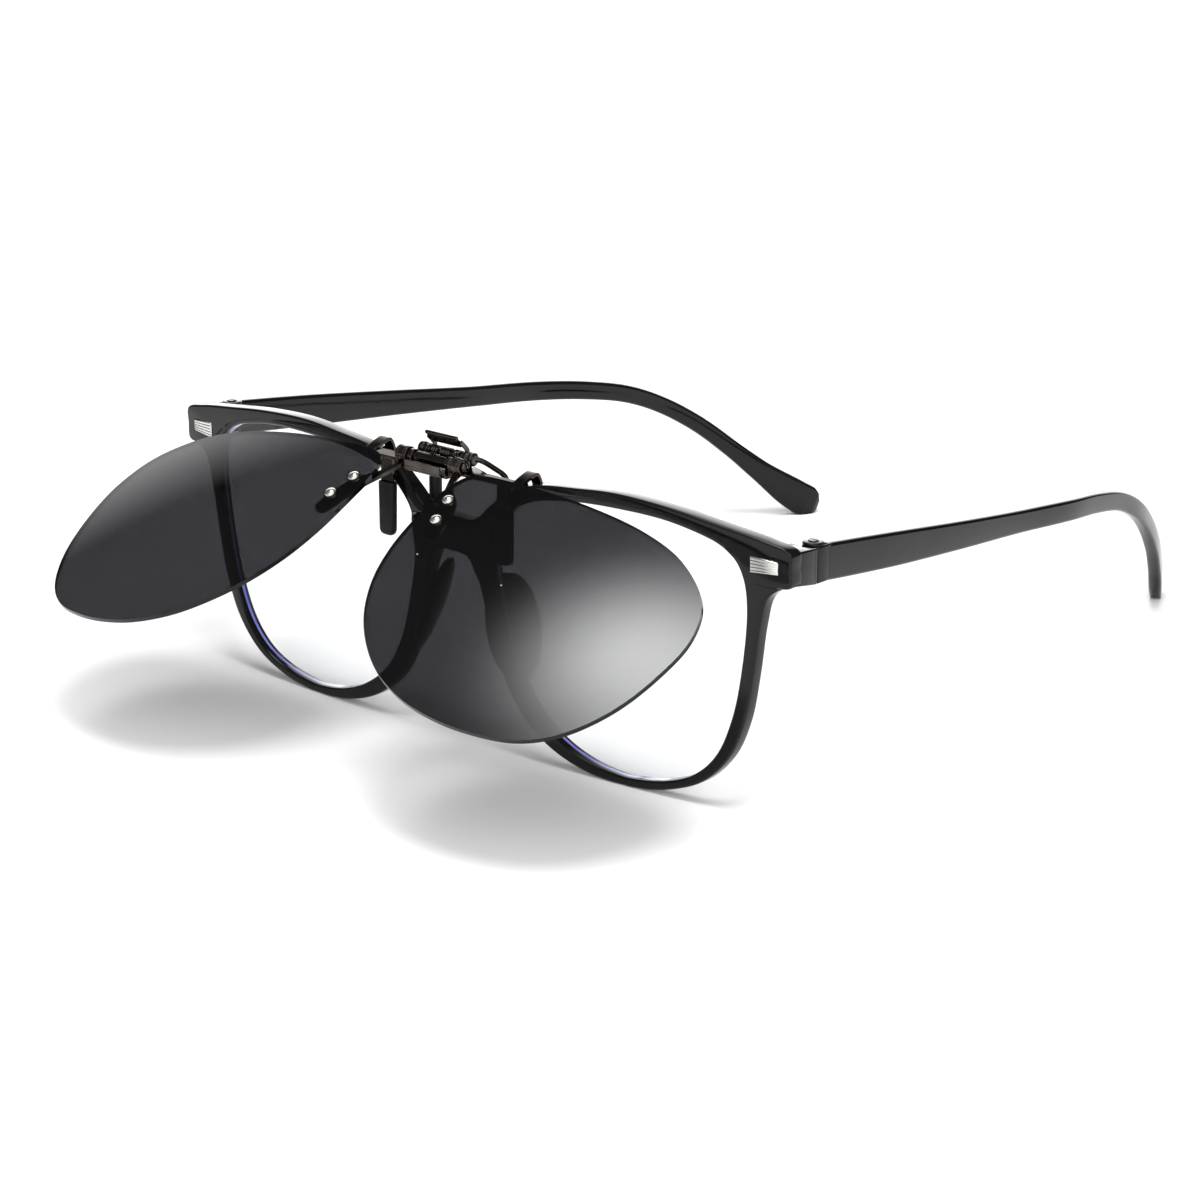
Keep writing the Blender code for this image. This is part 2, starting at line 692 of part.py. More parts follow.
def wire(name, points, radius, finish, parent, sides=1):
    data = bpy.data.curves.new(name, "CURVE")
    data.dimensions = "3D"
    data.bevel_depth = radius * MM
    data.bevel_resolution = sides
    data.use_fill_caps = True
    run = data.splines.new("POLY")
    run.points.add(len(points) - 1)
    for spot, p in zip(run.points, points):
        spot.co = (*(Vector(p) * MM), 1.0)
    made = bpy.data.objects.new(name, data)
    made.parent = parent
    bpy.context.collection.objects.link(made)
    data.materials.append(finish)
    return made


def claw_route():
    """The bent wire in the pivot's frame: a claw, the pivot pin and the other claw."""
    down, up = CLAW_SLEEVE_Z[0] + 1.5, CLAW_SLEEVE_Z[1]
    half = smooth_open(((CLAW_X, CLAW_Y, up - 1.0), (CLAW_X, CLAW_Y, up + 0.8),
                        (8.3, -8.9, 48.7), (7.4, -10.9, 50.6), (6.4, -13.2, 52.2),
                        (5.6, PIVOT_Y, PIVOT_Z)), 3)
    half = [Vector((CLAW_X, CLAW_Y, down)), *half, Vector((5.1, PIVOT_Y, PIVOT_Z))]
    origin = Vector((0, PIVOT_Y, PIVOT_Z))
    right = [p - origin for p in half]
    return [*right, *[Vector((-p.x, p.y, p.z)) for p in reversed(right)]]


def spring_route(side):
    """A torsion spring round the pivot pin, with one leg on the plate and one on the tab."""
    turns, per_turn, radius = 3.5, 12, 0.92
    steps = int(turns * per_turn)
    coil = []
    for i in range(steps + 1):
        turn = 2 * math.pi * i / per_turn - math.pi / 2
        coil.append(Vector((1.65 + 1.9 * i / steps, radius * math.cos(turn),
                            radius * math.sin(turn))))
    first = coil[0] + Vector((0, -1.3, -0.1))
    last = coil[-1] + Vector((0, -1.1, 0.05))
    route = [first, *coil, last]
    return [Vector((side * p.x, p.y, p.z)) for p in route]


def build_clamp(metal, rubber, clip):
    pivot = empty("pinch_axis", (0.0, PIVOT_Y, PIVOT_Z), clip)
    eye = turned([(-1.25, 1.0), (1.25, 1.0)], "x", (0, 0, 0))
    lever = solid("pinch_lever", *eye, metal, pivot)
    neck = strip(((0.0, 0.7), (0.25, 1.3), (0.3, 2.1)), -1.2, 1.2, 0.5)
    tab = strip(((0.5, 1.62), (0.0, 2.2), (-0.8, 3.0), (-1.5, 3.55)), -3.3, 3.3, 0.5)
    roll = turned([(-3.4, 0.4), (3.4, 0.4)], "x", (0, -1.6, 3.65), 10)
    for name, shape in (("neck", neck), ("tab", tab), ("roll", roll)):
        combine(lever, solid(name, *shape, None, pivot), "UNION")
    pin_cut = turned([(-3.0, WIRE_R + 0.06), (3.0, WIRE_R + 0.06)], "x", (0, 0, 0), 12)
    combine(lever, solid("lever_bore", *pin_cut, None, pivot), "DIFFERENCE")
    wire("claw_wire", claw_route(), WIRE_R, metal, pivot)
    origin = (0.0, PIVOT_Y, PIVOT_Z)
    for side, sign, flip in (("right", 1, lambda s: s), ("left", -1, mirrored)):
        wire(f"torsion_spring_{side}", spring_route(sign), 0.17, metal, pivot, 0)
        verts, faces = flip(rear_sleeve())
        local = [tuple(Vector(v) - Vector(origin)) for v in verts]
        solid(f"rear_sleeve_{side}", local, faces, rubber, pivot)
        solid(f"front_sleeve_{side}", *flip(front_sleeve()), rubber, clip)


def main():
    clear_scene()
    black = material("black_plastic", (0.012, 0.012, 0.013), 0.12)
    clear = material("clear_lens", (0.93, 0.95, 0.98), 0.03, 0.0, 0.15)
    tint = material("tinted_lens", (0.03, 0.03, 0.034), 0.05, 0.0, 0.85)
    metal = material("gunmetal", (0.12, 0.105, 0.095), 0.25, 1.0)
    silver = material("silver", (0.72, 0.71, 0.68), 0.22, 1.0)
    rubber = material("black_rubber", (0.02, 0.02, 0.02), 0.6)
    root = empty("spectacles", (0.0, -SETBACK, 0.0))
    clip = empty("clip_on", (0.0, 0.0, 0.0), root)
    build_front(black, root)
    for side, flip in (("right", lambda s: s), ("left", mirrored)):
        solid(f"clear_lens_{side}", *flip(clear_lens()), clear, root)
        solid(f"corner_plaque_{side}", *flip(plaque_shape(0.0, -0.12, 0.4)), silver, root)
    build_temples(black, root)
    build_hinge_screws(silver, root)
    build_base(metal, clip)
    build_flip(metal, tint, silver, clip)
    build_clamp(metal, rubber, clip)


main()
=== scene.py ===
"""The looks of the flip-up clip-on sunglasses and the spectacles that they are clamped to.

Shapes are written in design millimetres: x across the face, y towards the ears, z up from
the table. The flip-up parts are written in the flip hinge's own frame, with the tinted
lenses hanging straight down. piece() turns both into the frame's metres, by DESIGN and
FLIPPED.
"""
import json
import math

import bmesh
import bpy
from mathutils import Matrix, Vector


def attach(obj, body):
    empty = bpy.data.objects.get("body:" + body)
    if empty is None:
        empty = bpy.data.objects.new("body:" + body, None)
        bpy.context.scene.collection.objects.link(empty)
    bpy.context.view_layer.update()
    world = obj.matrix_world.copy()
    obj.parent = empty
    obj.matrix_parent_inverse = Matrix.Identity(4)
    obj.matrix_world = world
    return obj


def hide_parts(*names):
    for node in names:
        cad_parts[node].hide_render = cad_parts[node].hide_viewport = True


MM = 0.001
ROUND = 24                # sides of a small turned part

# ---------------------------------------------------------------- the frame's own places

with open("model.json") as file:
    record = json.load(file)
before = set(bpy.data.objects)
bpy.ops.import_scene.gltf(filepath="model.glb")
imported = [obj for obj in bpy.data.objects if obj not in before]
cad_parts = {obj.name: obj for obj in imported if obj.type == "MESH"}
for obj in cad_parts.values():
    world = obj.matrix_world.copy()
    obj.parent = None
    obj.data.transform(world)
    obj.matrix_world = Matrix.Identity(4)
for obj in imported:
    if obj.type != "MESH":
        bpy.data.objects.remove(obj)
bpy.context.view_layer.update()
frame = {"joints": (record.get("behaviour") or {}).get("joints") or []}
joints = {joint["name"]: joint for joint in frame["joints"]}

FLIP_Y = -18.4            # the flip hinge in design coordinates
FLIP = Vector(joints["lens_flip"]["pos_m"]) / MM
PIVOT = Vector(joints["clamp_pinch"]["pos_m"]) / MM
HINGE = Vector(joints["temple_right_fold"]["pos_m"]) / MM
SETBACK = FLIP_Y - FLIP.y
FLIP_Z = FLIP.z
PIVOT_Y = PIVOT.y + SETBACK
PIVOT_Z = PIVOT.z
HINGE_X = HINGE.x
HINGE_Y = HINGE.y + SETBACK
FLIP_REST = -math.radians(joints["lens_flip"]["range_deg"][0])

DESIGN = Matrix.Translation((0, -SETBACK, 0))
FLIPPED = Matrix.Translation(FLIP) @ Matrix.Rotation(-FLIP_REST, 4, "X")

# Front frame
BRIDGE_FRONT = -14.335    # y of the front surface at the bridge, at brow height
BROW_Z = 50.0
FACE_RADIUS = 523.3       # the front's curve seen from above
FACE_LEAN = 0.0387        # how far back the front leans per millimetre downwards
FRAME_DEPTH = 3.0
EDGE = 0.45               # rounding along the front's edges
RECESS = 0.38             # how far the rim lies behind the raised brow
CREASE = 0.3              # width of the step between them
RECESS_FULL = 0.08        # share of the way out at which the rim's recess is complete
BROW_SINKS = 0.8          # share from which the brow sinks to the rim's level
OUTER_X = 70.95           # outer face of the end piece

# Temple hinge
FRAME_KNUCKLES = ((41.7, 43.2), (45.7, 46.9))
TEMPLE_KNUCKLE = (43.35, 45.55)
KNUCKLE_R = 1.5
END_FRONT = -9.0          # where the end piece leaves the front
END_REAR = HINGE_Y - 2.6  # rear face of the end piece
END_SKIN = HINGE_Y - 1.75  # rear edge of the end piece's outer skin
SKIN_X = HINGE_X + 1.65   # inner side of the outer skins beside the knuckles

# Tinted lenses, in the flip hinge's frame
LENS_TOP = 5.68           # how far the lens outline's zero lies above the hinge
LENS_AHEAD = 3.34         # how far the lens's reference plane lies in front of the hinge
LENS_MIDDLE = (31.83, 23.99)
LENS_CURVE = 0.0026       # half of one over the lens's radius
LENS_WRAP = 0.1072        # sideways slope that follows the face
TINTED_THICK = 0.8
BRACKET_GAP = 0.1         # between the lens and its strap
BRACKET_THICK = 0.6
RIVETS = {"upper": (11.1, 14.15), "lower": (12.4, 19.05)}

# Clamp
WIRE_R = 0.5
SHAFT_R = 0.7
PLATE_Z = (49.95, 50.55)
SHEET = 0.6               # thickness of the stamped metal
LEG_X = 13.7
LEG_Y = -15.2
SLEEVE_Z = (35.5, 45.2)
CLAW = (8.5, -8.6)
CLAW_SLEEVE_Z = (33.0, 46.0)

# The rim from the bridge's lower edge, down the nose side and round to the brow: inner
# edge, outer edge, and how far out between them the crease of the raised brow runs.
RIM = (
    ((9.3, 34.5), (0.0, 34.9), 0.0),
    ((9.5, 32.3), (3.4, 34.6), 0.4),
    ((10.1, 28.6), (5.8, 30.2), 1.0),
    ((11.4, 23.0), (7.6, 23.6), 1.0),
    ((13.6, 16.2), (10.3, 15.4), 1.0),
    ((17.6, 9.6), (14.3, 8.6), 1.0),
    ((23.3, 5.1), (20.3, 3.6), 1.0),
    ((29.4, 2.6), (28.0, 0.75), 1.0),
    ((34.8, 1.65), (34.5, 0.0), 1.0),
    ((38.6, 1.6), (38.8, 0.0), 1.0),
    ((45.9, 2.8), (46.3, 1.25), 1.0),
    ((51.8, 5.4), (53.2, 4.2), 1.0),
    ((56.2, 10.0), (58.4, 9.4), 1.0),
    ((59.2, 17.0), (61.6, 16.4), 1.0),
    ((61.0, 25.2), (63.4, 25.0), 1.0),
    ((62.1, 34.2), (64.8, 34.0), 1.0),
    ((62.1, 38.4), (66.2, 38.9), 1.0),
    ((61.8, 40.6), (68.6, 40.9), 1.0),
    ((61.4, 42.0), (70.8, 41.7), 0.56),
    ((60.6, 43.7), (70.95, 44.6), 0.16),
    ((59.4, 45.1), (70.8, 47.5), 0.07),
    ((57.0, 46.6), (66.5, 48.8), 0.1),
    ((52.6, 47.9), (57.6, 50.15), 0.2),
    ((45.6, 49.0), (47.7, 51.4), 0.3),
    ((36.4, 49.2), (36.6, 52.0), 0.32),
    ((28.0, 48.8), (28.2, 51.4), 0.34),
    ((19.4, 47.4), (19.2, 50.3), 0.34),
    ((14.4, 45.2), (13.3, 48.1), 0.3),
    ((11.3, 42.2), (8.9, 44.6), 0.2),
    ((10.1, 40.2), (5.4, 41.7), 0.1),
    ((9.7, 38.6), (0.0, 41.4), 0.0),
)
BRIDGE_MIDDLE = ((9.4, 36.6), (0.0, 38.1))

# The temple behind its hinge as x, y and z of its middle, its height and its thickness.
TEMPLE = (
    (69.6, 1.2, 43.85, 6.45, 2.3),
    (69.4, 9.7, 42.9, 6.35, 2.3),
    (69.1, 20.4, 41.7, 6.1, 2.3),
    (68.0, 41.0, 39.4, 5.1, 2.2),
    (66.2, 62.0, 37.05, 4.15, 2.2),
    (64.9, 79.5, 35.15, 3.95, 2.2),
    (62.6, 91.5, 33.5, 3.8, 2.2),
    (60.2, 102.8, 31.0, 3.6, 2.2),
    (58.1, 112.1, 27.1, 3.5, 2.3),
    (55.3, 120.4, 21.9, 3.5, 2.4),
    (52.4, 127.8, 15.8, 3.7, 2.5),
    (49.3, 134.1, 10.1, 4.7, 2.6),
    (46.1, 139.8, 5.2, 6.6, 2.6),
    (44.2, 143.1, 2.8, 6.9, 2.3),
    (43.2, 144.8, 1.9, 5.2, 1.6),
    (42.8, 145.5, 1.6, 2.4, 0.7),
)

# The tinted lens's outline in u and v, from its nose-side top corner outwards.
TINTED = (
    (10.6, 7.5), (22.8, 6.3), (36.6, 6.4), (48.3, 7.5), (56.8, 10.0), (64.6, 15.8),
    (67.4, 23.0), (67.1, 31.2), (64.5, 40.8), (59.6, 48.4), (53.9, 52.5), (46.6, 54.4),
    (38.8, 54.8), (31.0, 53.6), (22.8, 49.9), (15.2, 42.9), (10.8, 35.4), (8.7, 27.8),
    (8.1, 19.0), (8.5, 11.6),
)

PLAQUE = ((63.4, 43.2), (68.6, 43.6), (68.6, 45.7), (63.4, 46.1))


# ---------------------------------------------------------------- materials

def shader_tree(name):
    """Starts a material. Returns how to add and wire a node, and how to finish the material.

    A node's input is given by its name, with _ for each space, or as i and its number.
    """
    made = bpy.data.materials.new(name)
    made.use_nodes = True
    tree = made.node_tree
    tree.nodes.clear()
    output = tree.nodes.new("ShaderNodeOutputMaterial")

    def add(kind, settings=None, **inputs):
        node = tree.nodes.new(kind)
        for key, value in (settings or {}).items():
            setattr(node, key, value)
        for key, value in inputs.items():
            socket = node.inputs[int(key[1:])] if key[0] == "i" and key[1:].isdigit() \
                else node.inputs[key.replace("_", " ")]
            if isinstance(value, bpy.types.NodeSocket):
                tree.links.new(value, socket)
            else:
                socket.default_value = value
        return node

    def finish(surface):
        tree.links.new(surface, output.inputs["Surface"])
        return made

    return add, finish


def noise(add, scale, detail=3.0, stretch=(1, 1, 1)):
    """Noise in metres of the object, between 0 and 1."""
    place = add("ShaderNodeTexCoord").outputs["Object"]
    if stretch != (1, 1, 1):
        place = add("ShaderNodeMapping", Vector=place, Scale=stretch).outputs["Vector"]
    return add("ShaderNodeTexNoise", Vector=place, Scale=scale, Detail=detail).outputs["Fac"]


def spread(add, value, low, high, start=0.3, end=0.7):
    """Noise turned into a range of values."""
    return add("ShaderNodeMapRange", i0=value, i1=start, i2=end, i3=low, i4=high).outputs[0]


def tone(add, value, dark, light):
    ramp = add("ShaderNodeValToRGB", Fac=value)
    ramp.color_ramp.elements[0].color = (*dark, 1)
    ramp.color_ramp.elements[1].color = (*light, 1)
    ramp.color_ramp.elements[0].position = 0.35
    ramp.color_ramp.elements[1].position = 0.65
    return ramp.outputs["Color"]


def bump(add, height, strength, distance):
    return add("ShaderNodeBump", Strength=strength, Distance=distance,
               Height=height).outputs["Normal"]


def gloss_plastic():
    """Polished moulded plastic: faint flow marks, and handling haze in its gloss."""
    add, finish = shader_tree("black_plastic")
    haze = noise(add, 60, 5)
    scratches = noise(add, 900, 2, (1, 0.04, 1))
    rough = add("ShaderNodeMath", {"operation": "ADD"}, i0=spread(add, haze, 0.05, 0.13),
                i1=spread(add, scratches, 0.0, 0.05, 0.62, 0.75)).outputs[0]
    flow = bump(add, noise(add, 220, 2), 0.12, 0.0002)
    shader = add("ShaderNodeBsdfPrincipled", Roughness=rough, Normal=flow, IOR=1.37,
                 Base_Color=tone(add, noise(add, 35), (0.0035, 0.0035, 0.0037),
                                 (0.0055, 0.0054, 0.0052)))
    return finish(shader.outputs[0])


def rubber():
    """Dipped soft plastic: matte, with a fine grain."""
    add, finish = shader_tree("black_rubber")
    grain = noise(add, 3500, 4)
    shader = add("ShaderNodeBsdfPrincipled", Roughness=spread(add, noise(add, 300), 0.42, 0.62),
                 IOR=1.32,
                 Base_Color=tone(add, grain, (0.005, 0.005, 0.005), (0.011, 0.011, 0.01)),
                 Normal=bump(add, grain, 0.35, 0.00006))
    return finish(shader.outputs[0])


def plated(name, dark, light, smooth, rough, grain_stretch=(1, 1, 1)):
    """Plated metal: rolling marks under the plating, and uneven gloss."""
    add, finish = shader_tree(name)
    grain = noise(add, 1400, 3, grain_stretch)
    cloud = noise(add, 260, 4)
    shader = add("ShaderNodeBsdfPrincipled", Metallic=1.0,
                 Roughness=spread(add, cloud, smooth, rough),
                 Base_Color=tone(add, cloud, dark, light),
                 Normal=bump(add, grain, 0.25, 0.00005))
    return finish(shader.outputs[0])


def see_through(name, tint, ior, dust):
    """A coated pane that passes its tint at each of its two walls, and mirrors the rest.

    The pane is split into cells with random brightness. Those brighter than dust carry a
    speck, and with no dust given the pane stays clean.
    """
    add, finish = shader_tree(name)
    clear = add("ShaderNodeBsdfTransparent", Color=(*tint, 1)).outputs[0]
    wipe = noise(add, 45, 4, (1, 1, 3))
    mirror = add("ShaderNodeBsdfGlossy", Roughness=spread(add, wipe, 0.012, 0.05)).outputs[0]
    inside = add("ShaderNodeNewGeometry").outputs["Backfacing"]
    outside = add("ShaderNodeMath", {"operation": "SUBTRACT"}, i0=1.0, i1=inside).outputs[0]
    shine = add("ShaderNodeMath", {"operation": "MULTIPLY"}, i1=outside,
                i0=add("ShaderNodeFresnel", IOR=ior).outputs[0]).outputs[0]
    pane = add("ShaderNodeMixShader", i0=shine, i1=clear, i2=mirror).outputs[0]
    if dust:
        cells = add("ShaderNodeTexVoronoi", Scale=260,
                    Vector=add("ShaderNodeTexCoord").outputs["Object"])
        near = add("ShaderNodeMath", {"operation": "LESS_THAN"},
                   i0=cells.outputs["Distance"], i1=0.035).outputs[0]
        some = add("ShaderNodeMath", {"operation": "GREATER_THAN"},
                   i0=cells.outputs["Color"], i1=dust).outputs[0]
        speck = add("ShaderNodeMath", {"operation": "MULTIPLY"}, i0=near, i1=some).outputs[0]
        fleck = add("ShaderNodeBsdfDiffuse", Color=(0.5, 0.5, 0.5, 1)).outputs[0]
        pane = add("ShaderNodeMixShader", i0=speck, i1=pane, i2=fleck).outputs[0]
    return finish(pane)


def painted_edge_glint():
    """A painted reflection: the violet and blue glints that a coated clear lens shows at its edge,
    painted into its colour.
    """
    add, finish = shader_tree("lens_edge_glint_paint")
    streak = noise(add, 90, 2)
    shader = add("ShaderNodeBsdfPrincipled", Roughness=spread(add, streak, 0.1, 0.3),
                 Base_Color=tone(add, streak, (0.12, 0.15, 0.72), (0.42, 0.42, 0.95)))
    return finish(shader.outputs[0])


def paper_floor():
    add, finish = shader_tree("floor")
    shader = add("ShaderNodeBsdfDiffuse", Roughness=1.0,
                 Color=tone(add, noise(add, 20), (0.9, 0.9, 0.895), (0.915, 0.915, 0.91)))
    return finish(shader.outputs[0])


FINISH = {
    "black_plastic": gloss_plastic(),
    "clear_lens": see_through("clear_lens", (0.985, 0.99, 0.995), 1.3, 0.0),
    "tinted_lens": see_through("tinted_lens", (0.175, 0.175, 0.186), 1.55, 0.86),
    "gunmetal": plated("gunmetal", (0.045, 0.038, 0.034), (0.11, 0.095, 0.085), 0.09, 0.24),
    "silver": plated("silver", (0.66, 0.65, 0.62), (0.86, 0.85, 0.82), 0.12, 0.28,
                     (0.05, 1, 1)),
    "screw_steel": plated("screw_steel", (0.05, 0.05, 0.055), (0.12, 0.12, 0.12), 0.2, 0.42),
    "black_rubber": rubber(),
}
# The coating's glints at the lens edge, as painted reflection.
EDGE_GLINT = painted_edge_glint()


# ---------------------------------------------------------------- curves and solids

def between(a, b, c, d, t):
    """A point between b and c on the smooth curve through a, b, c and d."""
    knots = [0.0]
    for p, q in ((a, b), (b, c), (c, d)):
        knots.append(knots[-1] + max((q - p).length, 1e-6) ** 0.5)
    u = knots[1] + (knots[2] - knots[1]) * t

    def mix(p, q, start, end):
        return (p * (end - u) + q * (u - start)) / (end - start)

    low = mix(a, b, knots[0], knots[1])
    mid = mix(b, c, knots[1], knots[2])
    high = mix(c, d, knots[2], knots[3])
    return mix(mix(low, mid, knots[0], knots[2]), mix(mid, high, knots[1], knots[3]),
               knots[1], knots[2])


def smooth_open(points, steps, before=None, after=None):
    pts = [Vector(p) for p in points]
    first = Vector(before) if before else 2 * pts[0] - pts[1]
    last = Vector(after) if after else 2 * pts[-1] - pts[-2]
    run = [first, *pts, last]
    made = [between(*run[i - 1:i + 3], k / steps)
            for i in range(1, len(run) - 2) for k in range(steps)]
    return [*made, pts[-1]]


def smooth_closed(points, steps):
    pts = [Vector(p) for p in points]
    count = len(pts)
    return [between(pts[i - 1], pts[i], pts[(i + 1) % count], pts[(i + 2) % count], k / steps)
            for i in range(count) for k in range(steps)]


def loft(rings, capped=True):
    """Quads between rings of equal length, and where capped a face over each end."""
    width = len(rings[0])
    count = len(rings)
    verts = [tuple(p) for ring in rings for p in ring]
    faces = []
    for i in range(count - 1):
        for j in range(width):
            k = (j + 1) % width
            faces.append((i * width + j, i * width + k, (i + 1) * width + k,
                          (i + 1) * width + j))
    if capped:
        faces.append(tuple(range(width)))
        faces.append(tuple(range((count - 1) * width, count * width)))
    return verts, faces


def merged(shapes):
    verts, faces = [], []
    for more_verts, more_faces in shapes:
        start = len(verts)
        verts += more_verts
        faces += [tuple(start + i for i in face) for face in more_faces]
    return verts, faces


def mirrored(shape):
    return [(-x, y, z) for x, y, z in shape[0]], shape[1]


def both(shape):
    return [shape, mirrored(shape)]


def block(low, high):
    return loft([[(x, low[1], low[2]), (x, high[1], low[2]), (x, high[1], high[2]),
                  (x, low[1], high[2])] for x in (low[0], high[0])])


def turned(profile, axis, centre, sides=ROUND):
    """A solid turned about an axis; the profile is a list of (along, radius)."""
    out = []
    for along, radius in profile:
        ring = []
        for i in range(sides):
            turn = 2 * math.pi * (i + 0.5) / sides
            a, b = radius * math.cos(turn), radius * math.sin(turn)
            offset = {"x": (along, a, b), "y": (a, along, b), "z": (a, b, along)}[axis]
            ring.append(tuple(c + o for c, o in zip(centre, offset)))
        out.append(ring)
    return loft(out)


def tube(path, radius, sides=10):
    """A round wire along a path of points, with rounded ends."""
    pts = [Vector(p) for p in path]
    turn = Vector((0, 0, 1))
    rings = []
    for i, p in enumerate(pts):
        along = (pts[min(i + 1, len(pts) - 1)] - pts[max(i - 1, 0)]).normalized()
        side = along.cross(turn)
        if side.length < 0.05:
            side = along.cross(Vector((0, 1, 0)))
        side.normalize()
        turn = side.cross(along).normalized()
        rings.append([p + (side * math.cos(a) + turn * math.sin(a)) * radius
                      for a in (2 * math.pi * k / sides for k in range(sides))])
    for end, step in ((0, pts[0] - pts[1]), (-1, pts[-1] - pts[-2])):
        cap = [pts[end] + (q - pts[end]) * 0.55 + step.normalized() * radius * 0.7
               for q in rings[end]]
        rings.insert(0 if end == 0 else len(rings), cap)
    return loft(rings)


def strip(path, x_low, x_high, thick):
    """A bent strip of sheet: a path in y and z, with its width along x."""
    pts = [Vector(p) for p in path]
    rings = []
    for i, p in enumerate(pts):
        along = (pts[min(i + 1, len(pts) - 1)] - pts[max(i - 1, 0)]).normalized()
        side = Vector((-along.y, along.x)) * thick / 2
        low, high = p - side, p + side
        rings.append([(x_low, *low), (x_high, *low), (x_high, *high), (x_low, *high)])
    return loft(rings)


def arc(start, end, steps):
    """Even steps from start to end, both included."""
    return [start + (end - start) * k / steps for k in range(steps + 1)]


def piece(name, shapes, finish, body, node=None, place=DESIGN, bevel=0.0, more=(), angle=40):
    """A mesh in the right place that rides on a body and stands for its CAD node."""
    verts, faces = merged(shapes)
    mesh = bpy.data.meshes.new(name)
    mesh.from_pydata([(place @ Vector(v)) * MM for v in verts], [], faces)
    work = bmesh.new()
    work.from_mesh(mesh)
    bmesh.ops.remove_doubles(work, verts=work.verts, dist=2e-6)
    bmesh.ops.recalc_face_normals(work, faces=work.faces)
    work.to_mesh(mesh)
    work.free()
    mesh.shade_smooth()
    mesh.set_sharp_from_angle(angle=math.radians(angle))
    made = bpy.data.objects.new(name, mesh)
    bpy.context.scene.collection.objects.link(made)
    for stuff in (FINISH[finish], *more):
        mesh.materials.append(stuff)
    if bevel:
        step = made.modifiers.new("edges", "BEVEL")
        step.width = bevel * MM
        step.segments = 3
        step.limit_method = "ANGLE"
        step.angle_limit = math.radians(angle)
        step.harden_normals = True
    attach(made, body)
    if node:
        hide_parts(*([node] if isinstance(node, str) else node))
    return made


def on_both_sides(make):
    """Calls make with each side's name, and with what turns a right-hand shape into it."""
    make("right", lambda shape: shape)
    make("left", mirrored)


# ---------------------------------------------------------------- spectacles

def face_y(x, z):
    """How far back the front's surface lies at a place on the face."""
    return BRIDGE_FRONT + x * x / (2 * FACE_RADIUS) + FACE_LEAN * (BROW_Z - z)


def normals(points, sign):
    """Unit vectors square to a run of points, all to the same side of it."""
    made = []
    for i in range(len(points)):
        along = points[min(i + 1, len(points) - 1)] - points[max(i - 1, 0)]
        made.append(Vector((-along.y, along.x)).normalized() * sign)
    return made


def rim_rows(steps):
    """Inner edge, outer edge, both ways into the material, and the crease, for each row."""
    rows = [(*inner, *outer, share) for inner, outer, share in RIM]
    middle = BRIDGE_MIDDLE[0]
    before = (*middle, -RIM[1][1][0], RIM[1][1][1], 0.0)
    after = (*middle, -RIM[-2][1][0], RIM[-2][1][1], 0.0)
    run = smooth_open(rows, steps, before, after)
    inner = [Vector(p[:2]) for p in run]
    outer = [Vector((p[2], max(p[3], 0.0))) for p in run]
    into_inner = normals(inner, -1)
    into_outer = normals(outer, 1)
    into_outer[0] = Vector((0, 1))
    into_outer[-1] = Vector((0, -1))
    return list(zip(inner, outer, into_inner, into_outer, [p[4] for p in run]))


CORNER = [math.radians(a) for a in arc(0, 90, 4)]


def rim_section(inner, outer, into_inner, into_outer, share):
    """A section from the inner wall over the front, with its crease, and round the back."""
    share = min(max(share, 0.0), 1.0)
    span = outer - inner
    reach = span.length - 2 * EDGE
    at = EDGE + share * max(reach, 0.01)
    rim_depth = RECESS * min(share / RECESS_FULL, 1.0)
    brow_depth = RECESS * max((share - BROW_SINKS) / (1 - BROW_SINKS), 0.0)
    spots = []
    for a in CORNER:
        spots.append((inner + into_inner * EDGE * (1 - math.cos(a)),
                      rim_depth + EDGE * (1 - math.sin(a))))
    for offset, depth in ((-CREASE / 2, rim_depth), (CREASE / 2, brow_depth)):
        along = min(max(at + offset, EDGE), span.length - EDGE)
        spots.append((inner + span.normalized() * along, depth))
    for a in reversed(CORNER):
        spots.append((outer + into_outer * EDGE * (1 - math.cos(a)),
                      brow_depth + EDGE * (1 - math.sin(a))))
    for a in CORNER:
        spots.append((outer + into_outer * EDGE * (1 - math.cos(a)),
                      FRAME_DEPTH - EDGE * (1 - math.sin(a))))
    for a in reversed(CORNER):
        spots.append((inner + into_inner * EDGE * (1 - math.cos(a)),
                      FRAME_DEPTH - EDGE * (1 - math.sin(a))))
    return [(p.x, face_y(p.x, p.y) + depth, p.y) for p, depth in spots]


def frame_half():
    """Half of the front; the bridge's end stays open, to meet its mirror image."""
    sections = [rim_section(*row) for row in rim_rows(6)]
    sections.append(rim_section(Vector(BRIDGE_MIDDLE[0]), Vector(BRIDGE_MIDDLE[1]),
                                Vector((-1, 0)), Vector((0, 0)), 0.0))
    width = len(sections[0])
    count = len(sections)
    outer_from = len(CORNER) + 2
    outer_to = outer_from + 2 * len(CORNER) - 1
    faces = []
    for i in range(count):
        k = (i + 1) % count
        for j in range(width):
            if i >= count - 2 and outer_from <= j < outer_to:
                continue
            m = (j + 1) % width
            faces.append((i * width + j, i * width + m, k * width + m, k * width + j))
    return [p for section in sections for p in section], faces


def nose_pad():
    """A flattened egg that leans with the rim and opens towards the face."""
    middle = Vector((9.6, -8.2, 22.0))
    half_thick, half_deep, half_tall = 1.7, 5.2, 9.4
    levels, sides, fullness = 24, 32, 0.85
    lean = Matrix.Rotation(math.radians(-20), 3, "Y")
    splay = Matrix.Rotation(math.radians(-25), 3, "Z")
    rings = []
    for i in range(1, levels):
        tall = -math.cos(math.pi * i / levels)
        wide = math.sin(math.pi * i / levels) ** fullness
        ring = []
        for j in range(sides):
            turn = 2 * math.pi * j / sides
            egg = Vector((half_thick * wide * math.cos(turn), half_deep * wide * math.sin(turn),
                          half_tall * tall))
            ring.append(tuple(middle + splay @ (lean @ egg)))
        rings.append(ring)
    return loft(rings)


